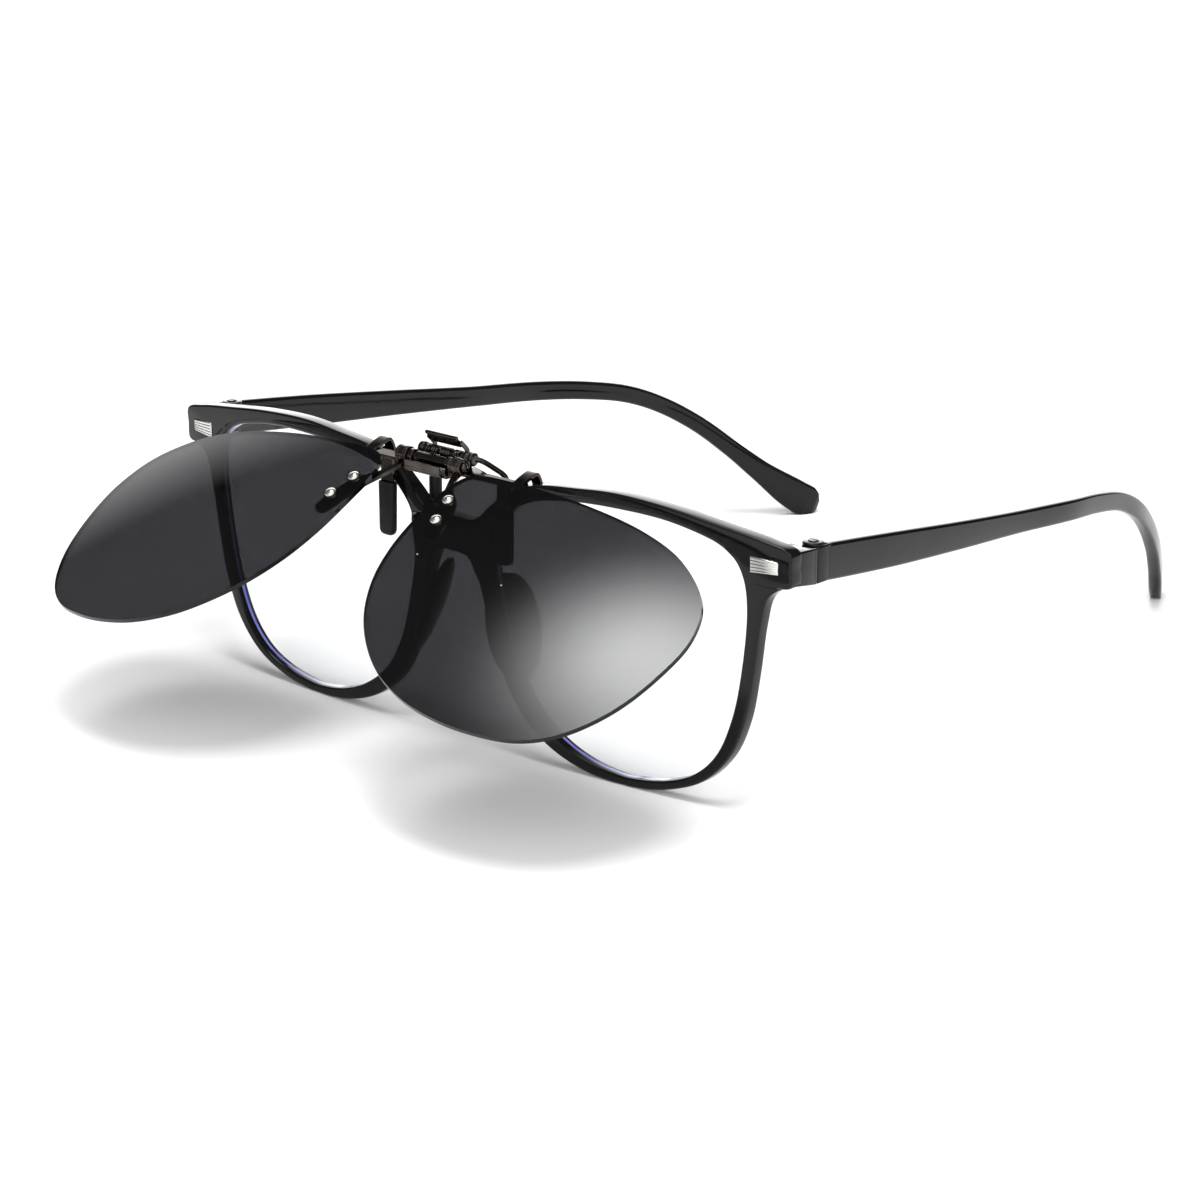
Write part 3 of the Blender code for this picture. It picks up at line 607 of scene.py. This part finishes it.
def rounded_box(low, high, radius, steps=3):
    """A box with rounded edges all round, as a loft along y."""
    rings = []
    ends = [(low[1] + radius * (1 - math.sin(a)), radius * (1 - math.cos(a)))
            for a in (math.radians(t) for t in arc(0, 90, steps))]
    ends = [(y, inset) for y, inset in reversed(ends)]
    far = [(high[1] - (y - low[1]), inset) for y, inset in reversed(ends)]
    for y, inset in [*ends, *far]:
        ring = []
        for quarter, (sx, sz) in enumerate(((1, 1), (-1, 1), (-1, -1), (1, -1))):
            cx = (high[0] if sx > 0 else low[0]) - sx * radius
            cz = (high[2] if sz > 0 else low[2]) - sz * radius
            size = radius - inset
            for t in arc(0, 90, steps):
                turn = math.radians(90 * quarter + t)
                ring.append((cx + size * math.cos(turn), y, cz + size * math.sin(turn)))
        rings.append(ring)
    return loft(rings)


def knuckle(levels, reach, half_width=1.0):
    low, high = levels
    ease = 0.15
    eye = turned([(low, KNUCKLE_R - 0.2), (low + ease, KNUCKLE_R), (high - ease, KNUCKLE_R),
                  (high, KNUCKLE_R - 0.2)], "z", (HINGE_X, HINGE_Y, 0), 36)
    near, far = sorted((HINGE_Y, reach))
    web = block((HINGE_X - half_width, near, low + 0.05), (HINGE_X + half_width, far, high - 0.05))
    return [eye, web]


def leaning(shape):
    """An end piece's block, whose top and underside fall towards the hinge."""
    top_fall, bottom_fall, middle = 0.35, 1.05, 44.5
    verts = []
    for x, y, z in shape[0]:
        share = (y - END_FRONT) / (END_SKIN - END_FRONT)
        verts.append((x, y, z - share * (top_fall if z > middle else bottom_fall)))
    return verts, shape[1]


def build_front():
    half = frame_half()
    end = leaning(rounded_box((65.7, END_FRONT, 41.78), (OUTER_X, END_REAR, 47.42), 0.35))
    skin = leaning(rounded_box((SKIN_X - 0.2, -5.0, 41.82), (OUTER_X - 0.04, END_SKIN, 47.38),
                               0.3))
    boss = turned([(46.8, 1.85), (47.2, 1.85), (47.36, 1.78), (47.42, 1.6)], "z",
                  (HINGE_X, HINGE_Y, 0), 48)
    eyes = [shape for levels in FRAME_KNUCKLES for shape in knuckle(levels, END_REAR - 0.5)]
    shapes = [half, mirrored(half)]
    for shape in (nose_pad(), end, skin, boss, *eyes):
        shapes += both(shape)
    piece("front", shapes, "black_plastic", "spectacles_front", "front_frame", angle=50)


def shell(outline, centre, place, rings):
    """A thin curved disc: place(point, share of the thickness) gives each spot."""
    verts, faces = [], []
    count = len(outline)
    for back in (0.0, 1.0):
        for k in range(rings):
            share = 1 - k / rings
            verts += [place(centre + (p - centre) * share, back) for p in outline]
        verts.append(place(centre, back))
    side = rings * count + 1
    for start in (0, side):
        for k in range(rings):
            for j in range(count):
                m = (j + 1) % count
                a, b = start + k * count + j, start + k * count + m
                if k < rings - 1:
                    faces.append((a, b, b + count, a + count))
                else:
                    faces.append((a, b, start + side - 1))
    for j in range(count):
        m = (j + 1) % count
        faces.append((j, m, side + m, side + j))
    return verts, faces


def mark(made, chosen, slot=1):
    """Gives the faces that chosen(face) picks another of the piece's materials."""
    for face in made.data.polygons:
        if chosen(face):
            face.material_index = slot


def build_clear_lenses():
    """A lens seated in the rim, with a band along the rim's inner wall that carries painted
    reflection of the coating's blue glints.
    """
    rows = rim_rows(6)
    rows.append((Vector(BRIDGE_MIDDLE[0]), None, Vector((-1, 0)), None, 0.0))
    seated = [row[0] + row[2] * 0.25 for row in rows]
    inside = [row[0] - row[2] * 0.04 for row in rows]

    def place(p, back):
        return (p.x, face_y(p.x, p.y) + 1.0 + back, p.y)

    disc = shell(seated, Vector((37.0, 26.0)), place, 8)
    # The band's rows: black, then the coating's blue glints as painted reflection, then black.
    glint_band = loft([[(p.x, face_y(p.x, p.y) + depth, p.y) for p in inside]
                 for depth in (1.05, 1.55, 2.1, 2.6)], capped=False)
    first = len(disc[1]) + len(inside)

    def make(side, flip):
        made = piece(f"clear_{side}", [flip(disc), flip(glint_band)], "clear_lens",
                     "spectacles_front", f"clear_lens_{side}",
                     more=(EDGE_GLINT, FINISH["black_plastic"]))
        mark(made, lambda face: face.index >= len(disc[1]), 2)
        # Its middle row takes the painted reflection of the coating's glints.
        mark(made, lambda face: first <= face.index < first + len(inside))

    on_both_sides(make)


def plaque():
    """A trapezoid badge whose face carries plain level ridges."""
    low_in, low_out, high_out, high_in = (Vector(p) for p in PLAQUE)
    ridges = 5
    rings = []
    for share, lift in ((0.0, 0.12), (0.04, 0.3), (0.96, 0.3), (1.0, 0.12)):
        low = low_in.lerp(low_out, share)
        high = high_in.lerp(high_out, share)
        ring = [(low.x, face_y(low.x, low.y) + 0.3, low.y)]
        for k in range(ridges * 4 + 1):
            spot = low.lerp(high, k / (ridges * 4))
            wave = 0.5 + 0.5 * math.cos(2 * math.pi * k / 4)
            ring.append((spot.x, face_y(spot.x, spot.y) - lift * (1 - 0.55 * wave), spot.y))
        ring.append((high.x, face_y(high.x, high.y) + 0.3, high.y))
        rings.append(ring)
    return loft(rings)


def build_plaques():
    def make(side, flip):
        piece(f"plaque_{side}", [flip(plaque())], "silver", "spectacles_front",
              f"corner_plaque_{side}", angle=60)

    on_both_sides(make)


def half_disc(radius, gap, low, high):
    """A D-shaped half of a slotted screw head."""
    start = math.asin(gap / radius)
    rings = []
    for z, size in ((low, 1.0), (high - 0.12, 1.0), (high, 0.9)):
        ring = [(HINGE_X + radius * size * math.cos(a), HINGE_Y + radius * size * math.sin(a), z)
                for a in arc(start, math.pi - start, 18)]
        rings.append(ring)
    return loft(rings)


def build_screws():
    top = 47.4
    shank = turned([(41.4, 0.58), (top, 0.58), (top, 0.9), (top + 0.1, 0.9)], "z",
                   (HINGE_X, HINGE_Y, 0), 36)
    one = half_disc(0.9, 0.16, top + 0.05, top + 0.25)
    other = [(x, 2 * HINGE_Y - y, z) for x, y, z in one[0]], one[1]

    def make(side, flip):
        piece(f"screw_{side}", [flip(shank), flip(one), flip(other)], "screw_steel",
              "spectacles_front", f"hinge_screw_{side}", angle=30)

    on_both_sides(make)


def temple_ring(p, along, height, thick):
    """A soft-cornered section square to the temple's run."""
    level = Vector((along.y, -along.x, 0)).normalized()
    rise = level.cross(along).normalized()
    if rise.z < 0:
        rise = -rise
    radius = min(0.62, thick * 0.36, height * 0.3)
    ring = []
    for quarter, (sx, sz) in enumerate(((1, 1), (-1, 1), (-1, -1), (1, -1))):
        for t in arc(0, 90, 3):
            turn = math.radians(90 * quarter + t)
            across = sx * (thick / 2 - radius) + radius * math.cos(turn)
            up = sz * (height / 2 - radius) + radius * math.sin(turn)
            spot = p + level * across + rise * up
            ring.append((spot.x, spot.y, max(spot.z, 0.0)))
    return ring


def temple():
    rows = smooth_open([row[:3] for row in TEMPLE], 5)
    sizes = smooth_open([(*row[3:], 0.0) for row in TEMPLE], 5)
    rings = []
    for i, (p, size) in enumerate(zip(rows, sizes)):
        along = rows[min(i + 1, len(rows) - 1)] - rows[max(i - 1, 0)]
        if i == 0:
            along = Vector((0, 1, 0))
        rings.append(temple_ring(p, along, max(size.x, 0.4), max(size.y, 0.3)))
    return loft(rings)


def build_temples():
    skin = rounded_box((SKIN_X, HINGE_Y - 1.55, 40.75), (OUTER_X - 0.22, 1.7, 47.02), 0.28)
    shapes = [temple(), skin, *knuckle(TEMPLE_KNUCKLE, 2.6, 0.9)]

    def make(side, flip):
        piece(f"arm_{side}", [flip(shape) for shape in shapes], "black_plastic",
              f"{side}_temple", f"temple_{side}", angle=50)

    on_both_sides(make)


# ---------------------------------------------------------------- flip-up part

def tinted_surface(u, v):
    """The y of the tinted lens's front, in the flip hinge's frame."""
    du, dv = u - LENS_MIDDLE[0], v - LENS_MIDDLE[1]
    return LENS_CURVE * (du * du + dv * dv) + LENS_WRAP * u - LENS_AHEAD


def build_tinted_lenses():
    outline = smooth_closed(TINTED, 8)
    centre = Vector(LENS_MIDDLE)

    def place(p, back):
        return (p.x, tinted_surface(p.x, p.y) + back * TINTED_THICK, LENS_TOP - p.y)

    disc = shell(outline, centre, place, 10)

    def make(side, flip):
        made = piece(f"sun_{side}", [flip(disc)], "tinted_lens", "flip_lenses",
                     f"tinted_lens_{side}", FLIPPED, more=(FINISH["black_plastic"],), angle=60)
        wall = len(outline)
        total = len(made.data.polygons)
        mark(made, lambda face: face.index >= total - wall)

    on_both_sides(make)


def strap():
    """The strap behind a lens, from its barrel past both rivets to a round end."""
    path = ((6.4, 5.7, 0.9), (6.6, 8.0, 0.6), (8.2, 11.2, 0.8), (10.6, 14.4, 1.55),
            (12.3, 19.6, 1.62), (12.7, 21.3, 1.6))
    rows = smooth_open(path, 6)
    last = rows[-1]
    for t in arc(10, 88, 7):
        rows.append(Vector((last.x + 0.25 * math.sin(math.radians(t)),
                            last.y + 1.5 * math.sin(math.radians(t)),
                            last.z * math.cos(math.radians(t)))))
    rings = []
    for i, row in enumerate(rows):
        way = rows[min(i + 1, len(rows) - 1)] - rows[max(i - 1, 0)]
        side = Vector((way.y, -way.x)).normalized()
        ring = []
        for across, behind in ((1, 0), (1, BRACKET_THICK), (-1, BRACKET_THICK), (-1, 0)):
            u = row.x + side.x * row.z * across
            v = row.y + side.y * row.z * across
            y = min(tinted_surface(row.x, row.y) + TINTED_THICK + BRACKET_GAP, 0.6) + behind
            ring.append((u, y, LENS_TOP - v))
        rings.append(ring)
    return loft(rings)


def ringed_barrel(low, high, radius, grooves):
    """The profile of a barrel, with a turned groove at each of the given places."""
    profile = [(low, radius - 0.12), (low + 0.1, radius)]
    for at in grooves:
        profile += [(at - 0.12, radius), (at - 0.06, radius - 0.14), (at + 0.06, radius - 0.14),
                    (at + 0.12, radius)]
    return [*profile, (high - 0.1, radius), (high, radius - 0.12)]


def build_brackets():
    low, high, radius = 5.05, 7.55, 1.45
    profile = [*ringed_barrel(low, high, radius, (low + 0.5, high - 0.6)),
               (high, radius - 0.3), (high - 0.4, radius - 0.36)]
    barrel = turned(profile, "x", (0, 0, 0), 32)

    def make(side, flip):
        piece(f"bracket_{side}", [flip(strap()), flip(barrel)], "gunmetal", "flip_lenses",
              f"lens_bracket_{side}", FLIPPED, bevel=0.1)

    on_both_sides(make)


def build_rivets():
    """Domed heads in front on seats in darker gunmetal, which is painted shade of the gap round
    each head, and peened tails behind the strap.
    """
    sides = 28

    def make(side, flip):
        for level, (u, v) in RIVETS.items():
            face = tinted_surface(u, v)
            rear = face + TINTED_THICK + BRACKET_GAP + BRACKET_THICK
            dome = [(face - 0.16 - 0.56 * math.cos(a), 1.02 * math.sin(a) + 0.01)
                    for a in (math.radians(t) for t in arc(4, 90, 8))]
            shaded_seat = [(face - 0.15, 1.02), (face - 0.13, 1.18), (face - 0.04, 1.2),
                    (face - 0.02, 0.55)]
            tail = [(rear + 0.02, 0.55), (rear + 0.04, 0.92), (rear + 0.2, 0.9), (rear + 0.32, 0.7)]
            shape = turned([*dome, *shaded_seat, *tail], "y", (u, 0.0, LENS_TOP - v), sides)
            made = piece(f"rivet_head_{level}_{side}", [flip(shape)], "silver", "flip_lenses",
                         f"rivet_{level}_{side}", FLIPPED, more=(FINISH["gunmetal"],))
            # The seats take the darker gunmetal: painted shade of the gap round each head.
            mark(made, lambda face: len(dome) <= face.index // sides + 1 <= len(dome) + 2)

    on_both_sides(make)


def build_shaft():
    """The flip hinge's pin: domed ends, and raised rings round its middle."""
    teeth = 14
    reach = 3.3
    profile = [(-8.1, 0.2), (-8.0, 0.5), (-7.8, 0.72), (-7.5, 0.8), (-7.1, SHAFT_R),
               (-reach, SHAFT_R)]
    for k in range(teeth):
        start = -reach + 2 * reach * k / teeth
        width = 2 * reach / teeth
        profile += [(start + width * 0.15, 0.98), (start + width * 0.6, 0.98),
                    (start + width * 0.75, 0.78), (start + width, 0.78)]
    profile += [(reach, SHAFT_R), (7.1, SHAFT_R), (7.5, 0.8), (7.8, 0.72), (8.0, 0.5), (8.1, 0.2)]
    piece("shaft", [turned(profile, "x", (0, 0, 0), 20)], "gunmetal", "flip_lenses",
          "flip_shaft", FLIPPED)


# ---------------------------------------------------------------- clamp

def lug(x_low, x_high, y, z, radius):
    """A sheet lug that stands on the plate and holds a pin."""
    eye = turned(ringed_barrel(x_low, x_high, radius, ()), "x", (0, y, z))
    web = block((x_low + 0.05, y - radius * 0.8, PLATE_Z[0] + 0.1),
                (x_high - 0.05, y + radius * 0.8, z))
    return [eye, web]


def build_base():
    half = ((4.9, -20.1), (4.9, -12.7))
    outline = [*half, *[(-x, y) for x, y in reversed(half)]]
    plate = loft([[(x, y, z) for x, y in outline] for z in PLATE_Z])
    arm = loft([[(x, -16.45, 49.75), (x, rear, 50.2), (x, rear, 50.75), (x, -16.45, 50.3)]
                for x, rear in ((4.7, -12.8), (6.5, -13.3), (9.4, -14.6), (18.8, -14.6))])
    ear_path = smooth_open(((-15.9, 50.25), (-15.0, 50.7), (-12.5, 51.6), (-11.8, 51.65),
                            (-11.3, 51.1), (-10.5, 49.3)), 5)
    ear = strip(ear_path, 16.2, 18.4, SHEET)
    wide = block((LEG_X - 1.4, LEG_Y - SHEET / 2, 44.9), (LEG_X + 1.4, LEG_Y + SHEET / 2, 50.3))
    narrow = block((LEG_X - 1.0, LEG_Y - 0.28, 37.3), (LEG_X + 1.0, LEG_Y + 0.28, 45.4))
    tongue = strip(smooth_open(((-19.6, 50.25), (-20.3, 50.3), (-20.75, 50.75), (-20.8, 51.4),
                                (-20.8, 52.1)), 5), -4.1, 4.1, 0.4)
    shapes = [plate, tongue]
    for shape in (arm, ear, wide, narrow, *lug(3.85, 4.88, FLIP_Y, FLIP_Z, 1.2),
                  *lug(4.1, 4.86, PIVOT_Y, PIVOT_Z, 1.1)):
        shapes += both(shape)
    piece("base", shapes, "gunmetal", "clip_body", "clip_base", bevel=0.12)


def level_ring(z, width, depth, corner):
    ring = []
    for quarter, (sx, sy) in enumerate(((1, 1), (-1, 1), (-1, -1), (1, -1))):
        for t in arc(0, 90, 6):
            turn = math.radians(90 * quarter + t)
            ring.append((LEG_X + sx * (width / 2 - corner) + corner * math.cos(turn),
                         LEG_Y + sy * (depth / 2 - corner) + corner * math.sin(turn), z))
    return ring


def front_sleeve():
    """A soft pocket over the end of a front leg, open at its top."""
    low, high = SLEEVE_Z
    outer = [(low, 1.4, 0.5, 0.24), (low + 0.12, 2.2, 0.95, 0.42), (low + 0.4, 2.9, 1.4, 0.6),
             (low + 1.0, 3.4, 1.75, 0.75), (low + 5.0, 3.5, 1.85, 0.8), (high - 0.4, 3.6, 1.9, 0.8),
             (high - 0.1, 3.5, 1.8, 0.75), (high, 3.2, 1.5, 0.6)]
    inner = [(high - 0.05, 3.0, 0.9, 0.3), (high - 0.5, 2.9, 0.7, 0.2), (low + 1.3, 2.3, 0.8, 0.3)]
    return loft([level_ring(*row) for row in [*outer, *inner]])


def rear_sleeve():
    """A round soft sleeve over the end of a claw."""
    low, high = CLAW_SLEEVE_Z
    profile = [(low, 0.15), (low + 0.08, 0.5), (low + 0.3, 0.85), (low + 0.8, 1.1),
               (low + 4.0, 1.13), (high - 0.3, 1.15), (high - 0.06, 1.08), (high, 0.9),
               (high, 0.62), (low + 1.2, 0.6)]
    return turned(profile, "z", (*CLAW, 0), 32)


def claw_wire():
    """The bent wire: a claw, the pivot pin and the other claw."""
    down, up = CLAW_SLEEVE_Z[0] + 1.5, CLAW_SLEEVE_Z[1]
    half = smooth_open(((*CLAW, up - 1.0), (*CLAW, up + 0.8), (8.3, -8.9, 48.7),
                        (7.4, -10.9, 50.6), (6.4, -13.2, 52.2), (5.6, PIVOT_Y, PIVOT_Z)), 7)
    half = [Vector((*CLAW, down)), *half, Vector((5.1, PIVOT_Y, PIVOT_Z))]
    return tube([*half, *[Vector((-p.x, p.y, p.z)) for p in reversed(half)]], WIRE_R, 14)


def spring():
    """A torsion spring round the pivot pin, with a short leg forward from each end."""
    turns, per_turn, radius = 3.5, 20, 0.92
    steps = int(turns * per_turn)
    coil = []
    for i in range(steps + 1):
        turn = 2 * math.pi * i / per_turn - math.pi / 2
        coil.append(Vector((1.65 + 1.9 * i / steps, PIVOT_Y + radius * math.cos(turn),
                            PIVOT_Z + radius * math.sin(turn))))
    return tube([coil[0] + Vector((0, -1.3, -0.1)), *coil, coil[-1] + Vector((0, -1.1, 0.05))],
                0.17, 8)


def build_lever():
    """The pinch lever: a folded tab with a rolled edge, on two arms from the pivot."""
    def at(y, z):
        return (PIVOT_Y + y, PIVOT_Z + z)

    core = turned(ringed_barrel(-1.35, 1.35, 0.72, ()), "x", (0, *at(0, 0)), 32)
    turns, per_turn, half_length, radius = 5, 18, 1.15, 0.92
    coil = []
    for i in range(turns * per_turn + 1):
        turn = 2 * math.pi * i / per_turn
        coil.append((half_length * (2 * i / (turns * per_turn) - 1),
                     *at(radius * math.cos(turn), radius * math.sin(turn))))
    tab = strip((at(-1.5, 3.55), at(-0.9, 2.95), at(0.1, 1.95)), -3.6, 3.6, 0.24)
    under = strip((at(-1.7, 3.25), at(-1.1, 2.65), at(-0.2, 1.75)), -3.4, 3.4, 0.2)
    roll = turned([(-3.7, 0.26), (-3.6, 0.36), (3.6, 0.36), (3.7, 0.26)], "x", (0, *at(-1.6, 3.6)))
    arm_path = smooth_open((at(-0.9, 2.85), at(0.6, 1.35), at(0.85, 0.75), at(0.6, 0.2)), 4)
    arm = strip(arm_path, 3.62, 4.0, 0.8)
    eye = turned(ringed_barrel(3.62, 4.0, 1.0, ()), "x", (0, *at(0, 0)), 32)
    cap = turned(ringed_barrel(4.94, 6.2, 1.2, (5.3,)), "x", (0, *at(0, 0)), 32)
    shapes = [core, tube(coil, 0.2, 8), tab, under, roll]
    for shape in (arm, eye, cap):
        shapes += both(shape)
    piece("lever", shapes, "gunmetal", "clamp_claws", "pinch_lever", bevel=0.07)


def build_clamp():
    build_lever()
    piece("claws", [claw_wire()], "gunmetal", "clamp_claws", "claw_wire")

    def make(side, flip):
        piece(f"spring_{side}", [flip(spring())], "gunmetal", "clip_body",
              f"torsion_spring_{side}")
        piece(f"claw_sleeve_{side}", [flip(rear_sleeve())], "black_rubber", "clamp_claws",
              f"rear_sleeve_{side}")
        piece(f"leg_sleeve_{side}", [flip(front_sleeve())], "black_rubber", "clip_body",
              f"front_sleeve_{side}")

    on_both_sides(make)


# ---------------------------------------------------------------- stage, light and camera

def build_stage():
    """A wide white floor, set just below the part's lowest points."""
    reach = 3.0
    drop = 0.00002
    mesh = bpy.data.meshes.new("floor")
    mesh.from_pydata([(-reach, -reach, 0), (reach, -reach, 0), (reach, reach, 0),
                      (-reach, reach, 0)], [], [(0, 1, 2, 3)])
    mesh.materials.append(paper_floor())
    floor = bpy.data.objects.new("floor", mesh)
    floor.location.z = -drop
    bpy.context.scene.collection.objects.link(floor)


# The patches of light round the set: where each one is, the angle in degrees at which it
# ends, how steeply it falls off and how strong its middle is.
SKY = (
    ((-0.2, -0.06, 0.98), 24, 6.0, 17.0),     # the overhead panel
    ((-0.6, 0.78, 0.16), 41, 1.2, 4.6),       # a pale wall behind the left temple
    ((0.6, -0.7, 0.6), 60, 1.0, 1.7),         # a pale wall on the camera's side
    ((0.5, -0.8, 0.3), 130, 1.0, 0.5),        # weak light from the whole of that side
)
KEY_WAY = Vector((0.26, -0.25, 1.0)).normalized()
KEY_DISTANCE = 1.0
KEY_SIZE = 0.34
KEY_ENERGY = 4.8


def glow(tree, direction, reach, fall, strength):
    """A round patch of sky light that fades out at an angle from its direction."""
    place = tree.nodes.new("ShaderNodeTexCoord")
    aim = tree.nodes.new("ShaderNodeVectorMath")
    aim.operation = "DOT_PRODUCT"
    tree.links.new(place.outputs["Generated"], aim.inputs[0])
    aim.inputs[1].default_value = Vector(direction).normalized()
    fade = tree.nodes.new("ShaderNodeMapRange")
    fade.inputs["From Min"].default_value = math.cos(math.radians(reach))
    tree.links.new(aim.outputs["Value"], fade.inputs["Value"])
    shaped = tree.nodes.new("ShaderNodeMath")
    shaped.operation = "POWER"
    shaped.inputs[1].default_value = fall
    tree.links.new(fade.outputs[0], shaped.inputs[0])
    scaled = tree.nodes.new("ShaderNodeMath")
    scaled.operation = "MULTIPLY"
    scaled.inputs[1].default_value = strength
    tree.links.new(shaped.outputs[0], scaled.inputs[0])
    return scaled.outputs[0]


def build_light():
    """The sky's patches, a white backdrop that only the camera sees, and a key lamp."""
    world = bpy.data.worlds.new("studio")
    bpy.context.scene.world = world
    world.use_nodes = True
    tree = world.node_tree
    tree.nodes.clear()
    total = None
    for patch in SKY:
        value = glow(tree, *patch)
        if total is None:
            total = value
            continue
        plus = tree.nodes.new("ShaderNodeMath")
        tree.links.new(total, plus.inputs[0])
        tree.links.new(value, plus.inputs[1])
        total = plus.outputs[0]
    back = tree.nodes.new("ShaderNodeBackground")
    tree.links.new(total, back.inputs["Strength"])
    backdrop = tree.nodes.new("ShaderNodeBackground")
    backdrop.inputs["Color"].default_value = (1, 1, 1, 1)
    path = tree.nodes.new("ShaderNodeLightPath")
    seen = tree.nodes.new("ShaderNodeMixShader")
    tree.links.new(path.outputs["Is Camera Ray"], seen.inputs[0])
    tree.links.new(back.outputs[0], seen.inputs[1])
    tree.links.new(backdrop.outputs[0], seen.inputs[2])
    out = tree.nodes.new("ShaderNodeOutputWorld")
    tree.links.new(seen.outputs[0], out.inputs["Surface"])

    lamp = bpy.data.lights.new("key", "AREA")
    lamp.shape = "DISK"
    lamp.size = KEY_SIZE
    lamp.energy = KEY_ENERGY
    key = bpy.data.objects.new("key", lamp)
    key.location = KEY_WAY * KEY_DISTANCE
    key.rotation_euler = KEY_WAY.to_track_quat("Z", "Y").to_euler()
    key.visible_glossy = False
    bpy.context.scene.collection.objects.link(key)
    bpy.context.scene.view_settings.view_transform = "Standard"


# The viewing angle: round the object, up, distance, and the aim's small offsets
AZIMUTH = math.radians(39.034)
ELEVATION = math.radians(16.439)
DISTANCE = 0.705625
AIM = Vector((0, 60 - SETBACK, 20)) * MM
SIDEWAYS, UPWARDS = -0.0318, -0.0154
ROLL = math.radians(0.381)
FOCAL = 112.29
SENSOR = 36.0


def build_camera():
    back = Vector((math.sin(AZIMUTH) * math.cos(ELEVATION),
                   -math.cos(AZIMUTH) * math.cos(ELEVATION), math.sin(ELEVATION)))
    right = Vector((math.cos(AZIMUTH), math.sin(AZIMUTH), 0))
    up = back.cross(right)
    ahead = (-back + right * SIDEWAYS + up * UPWARDS).normalized()
    right = ahead.cross(Vector((0, 0, 1))).normalized()
    up = right.cross(ahead)
    across = right * math.cos(ROLL) + up * math.sin(ROLL)
    above = up * math.cos(ROLL) - right * math.sin(ROLL)
    data = bpy.data.cameras.new("camera")
    data.lens = FOCAL
    data.sensor_width = SENSOR
    data.clip_start = 0.01
    camera = bpy.data.objects.new("camera", data)
    turn = Matrix((across, above, -ahead)).transposed().to_4x4()
    camera.matrix_world = Matrix.Translation(AIM + back * DISTANCE) @ turn
    bpy.context.scene.collection.objects.link(camera)
    bpy.context.scene.camera = camera


build_camera()
build_light()
build_stage()
build_front()
build_clear_lenses()
build_plaques()
build_screws()
build_temples()
build_tinted_lenses()
build_brackets()
build_rivets()
build_shaft()
build_base()
build_clamp()
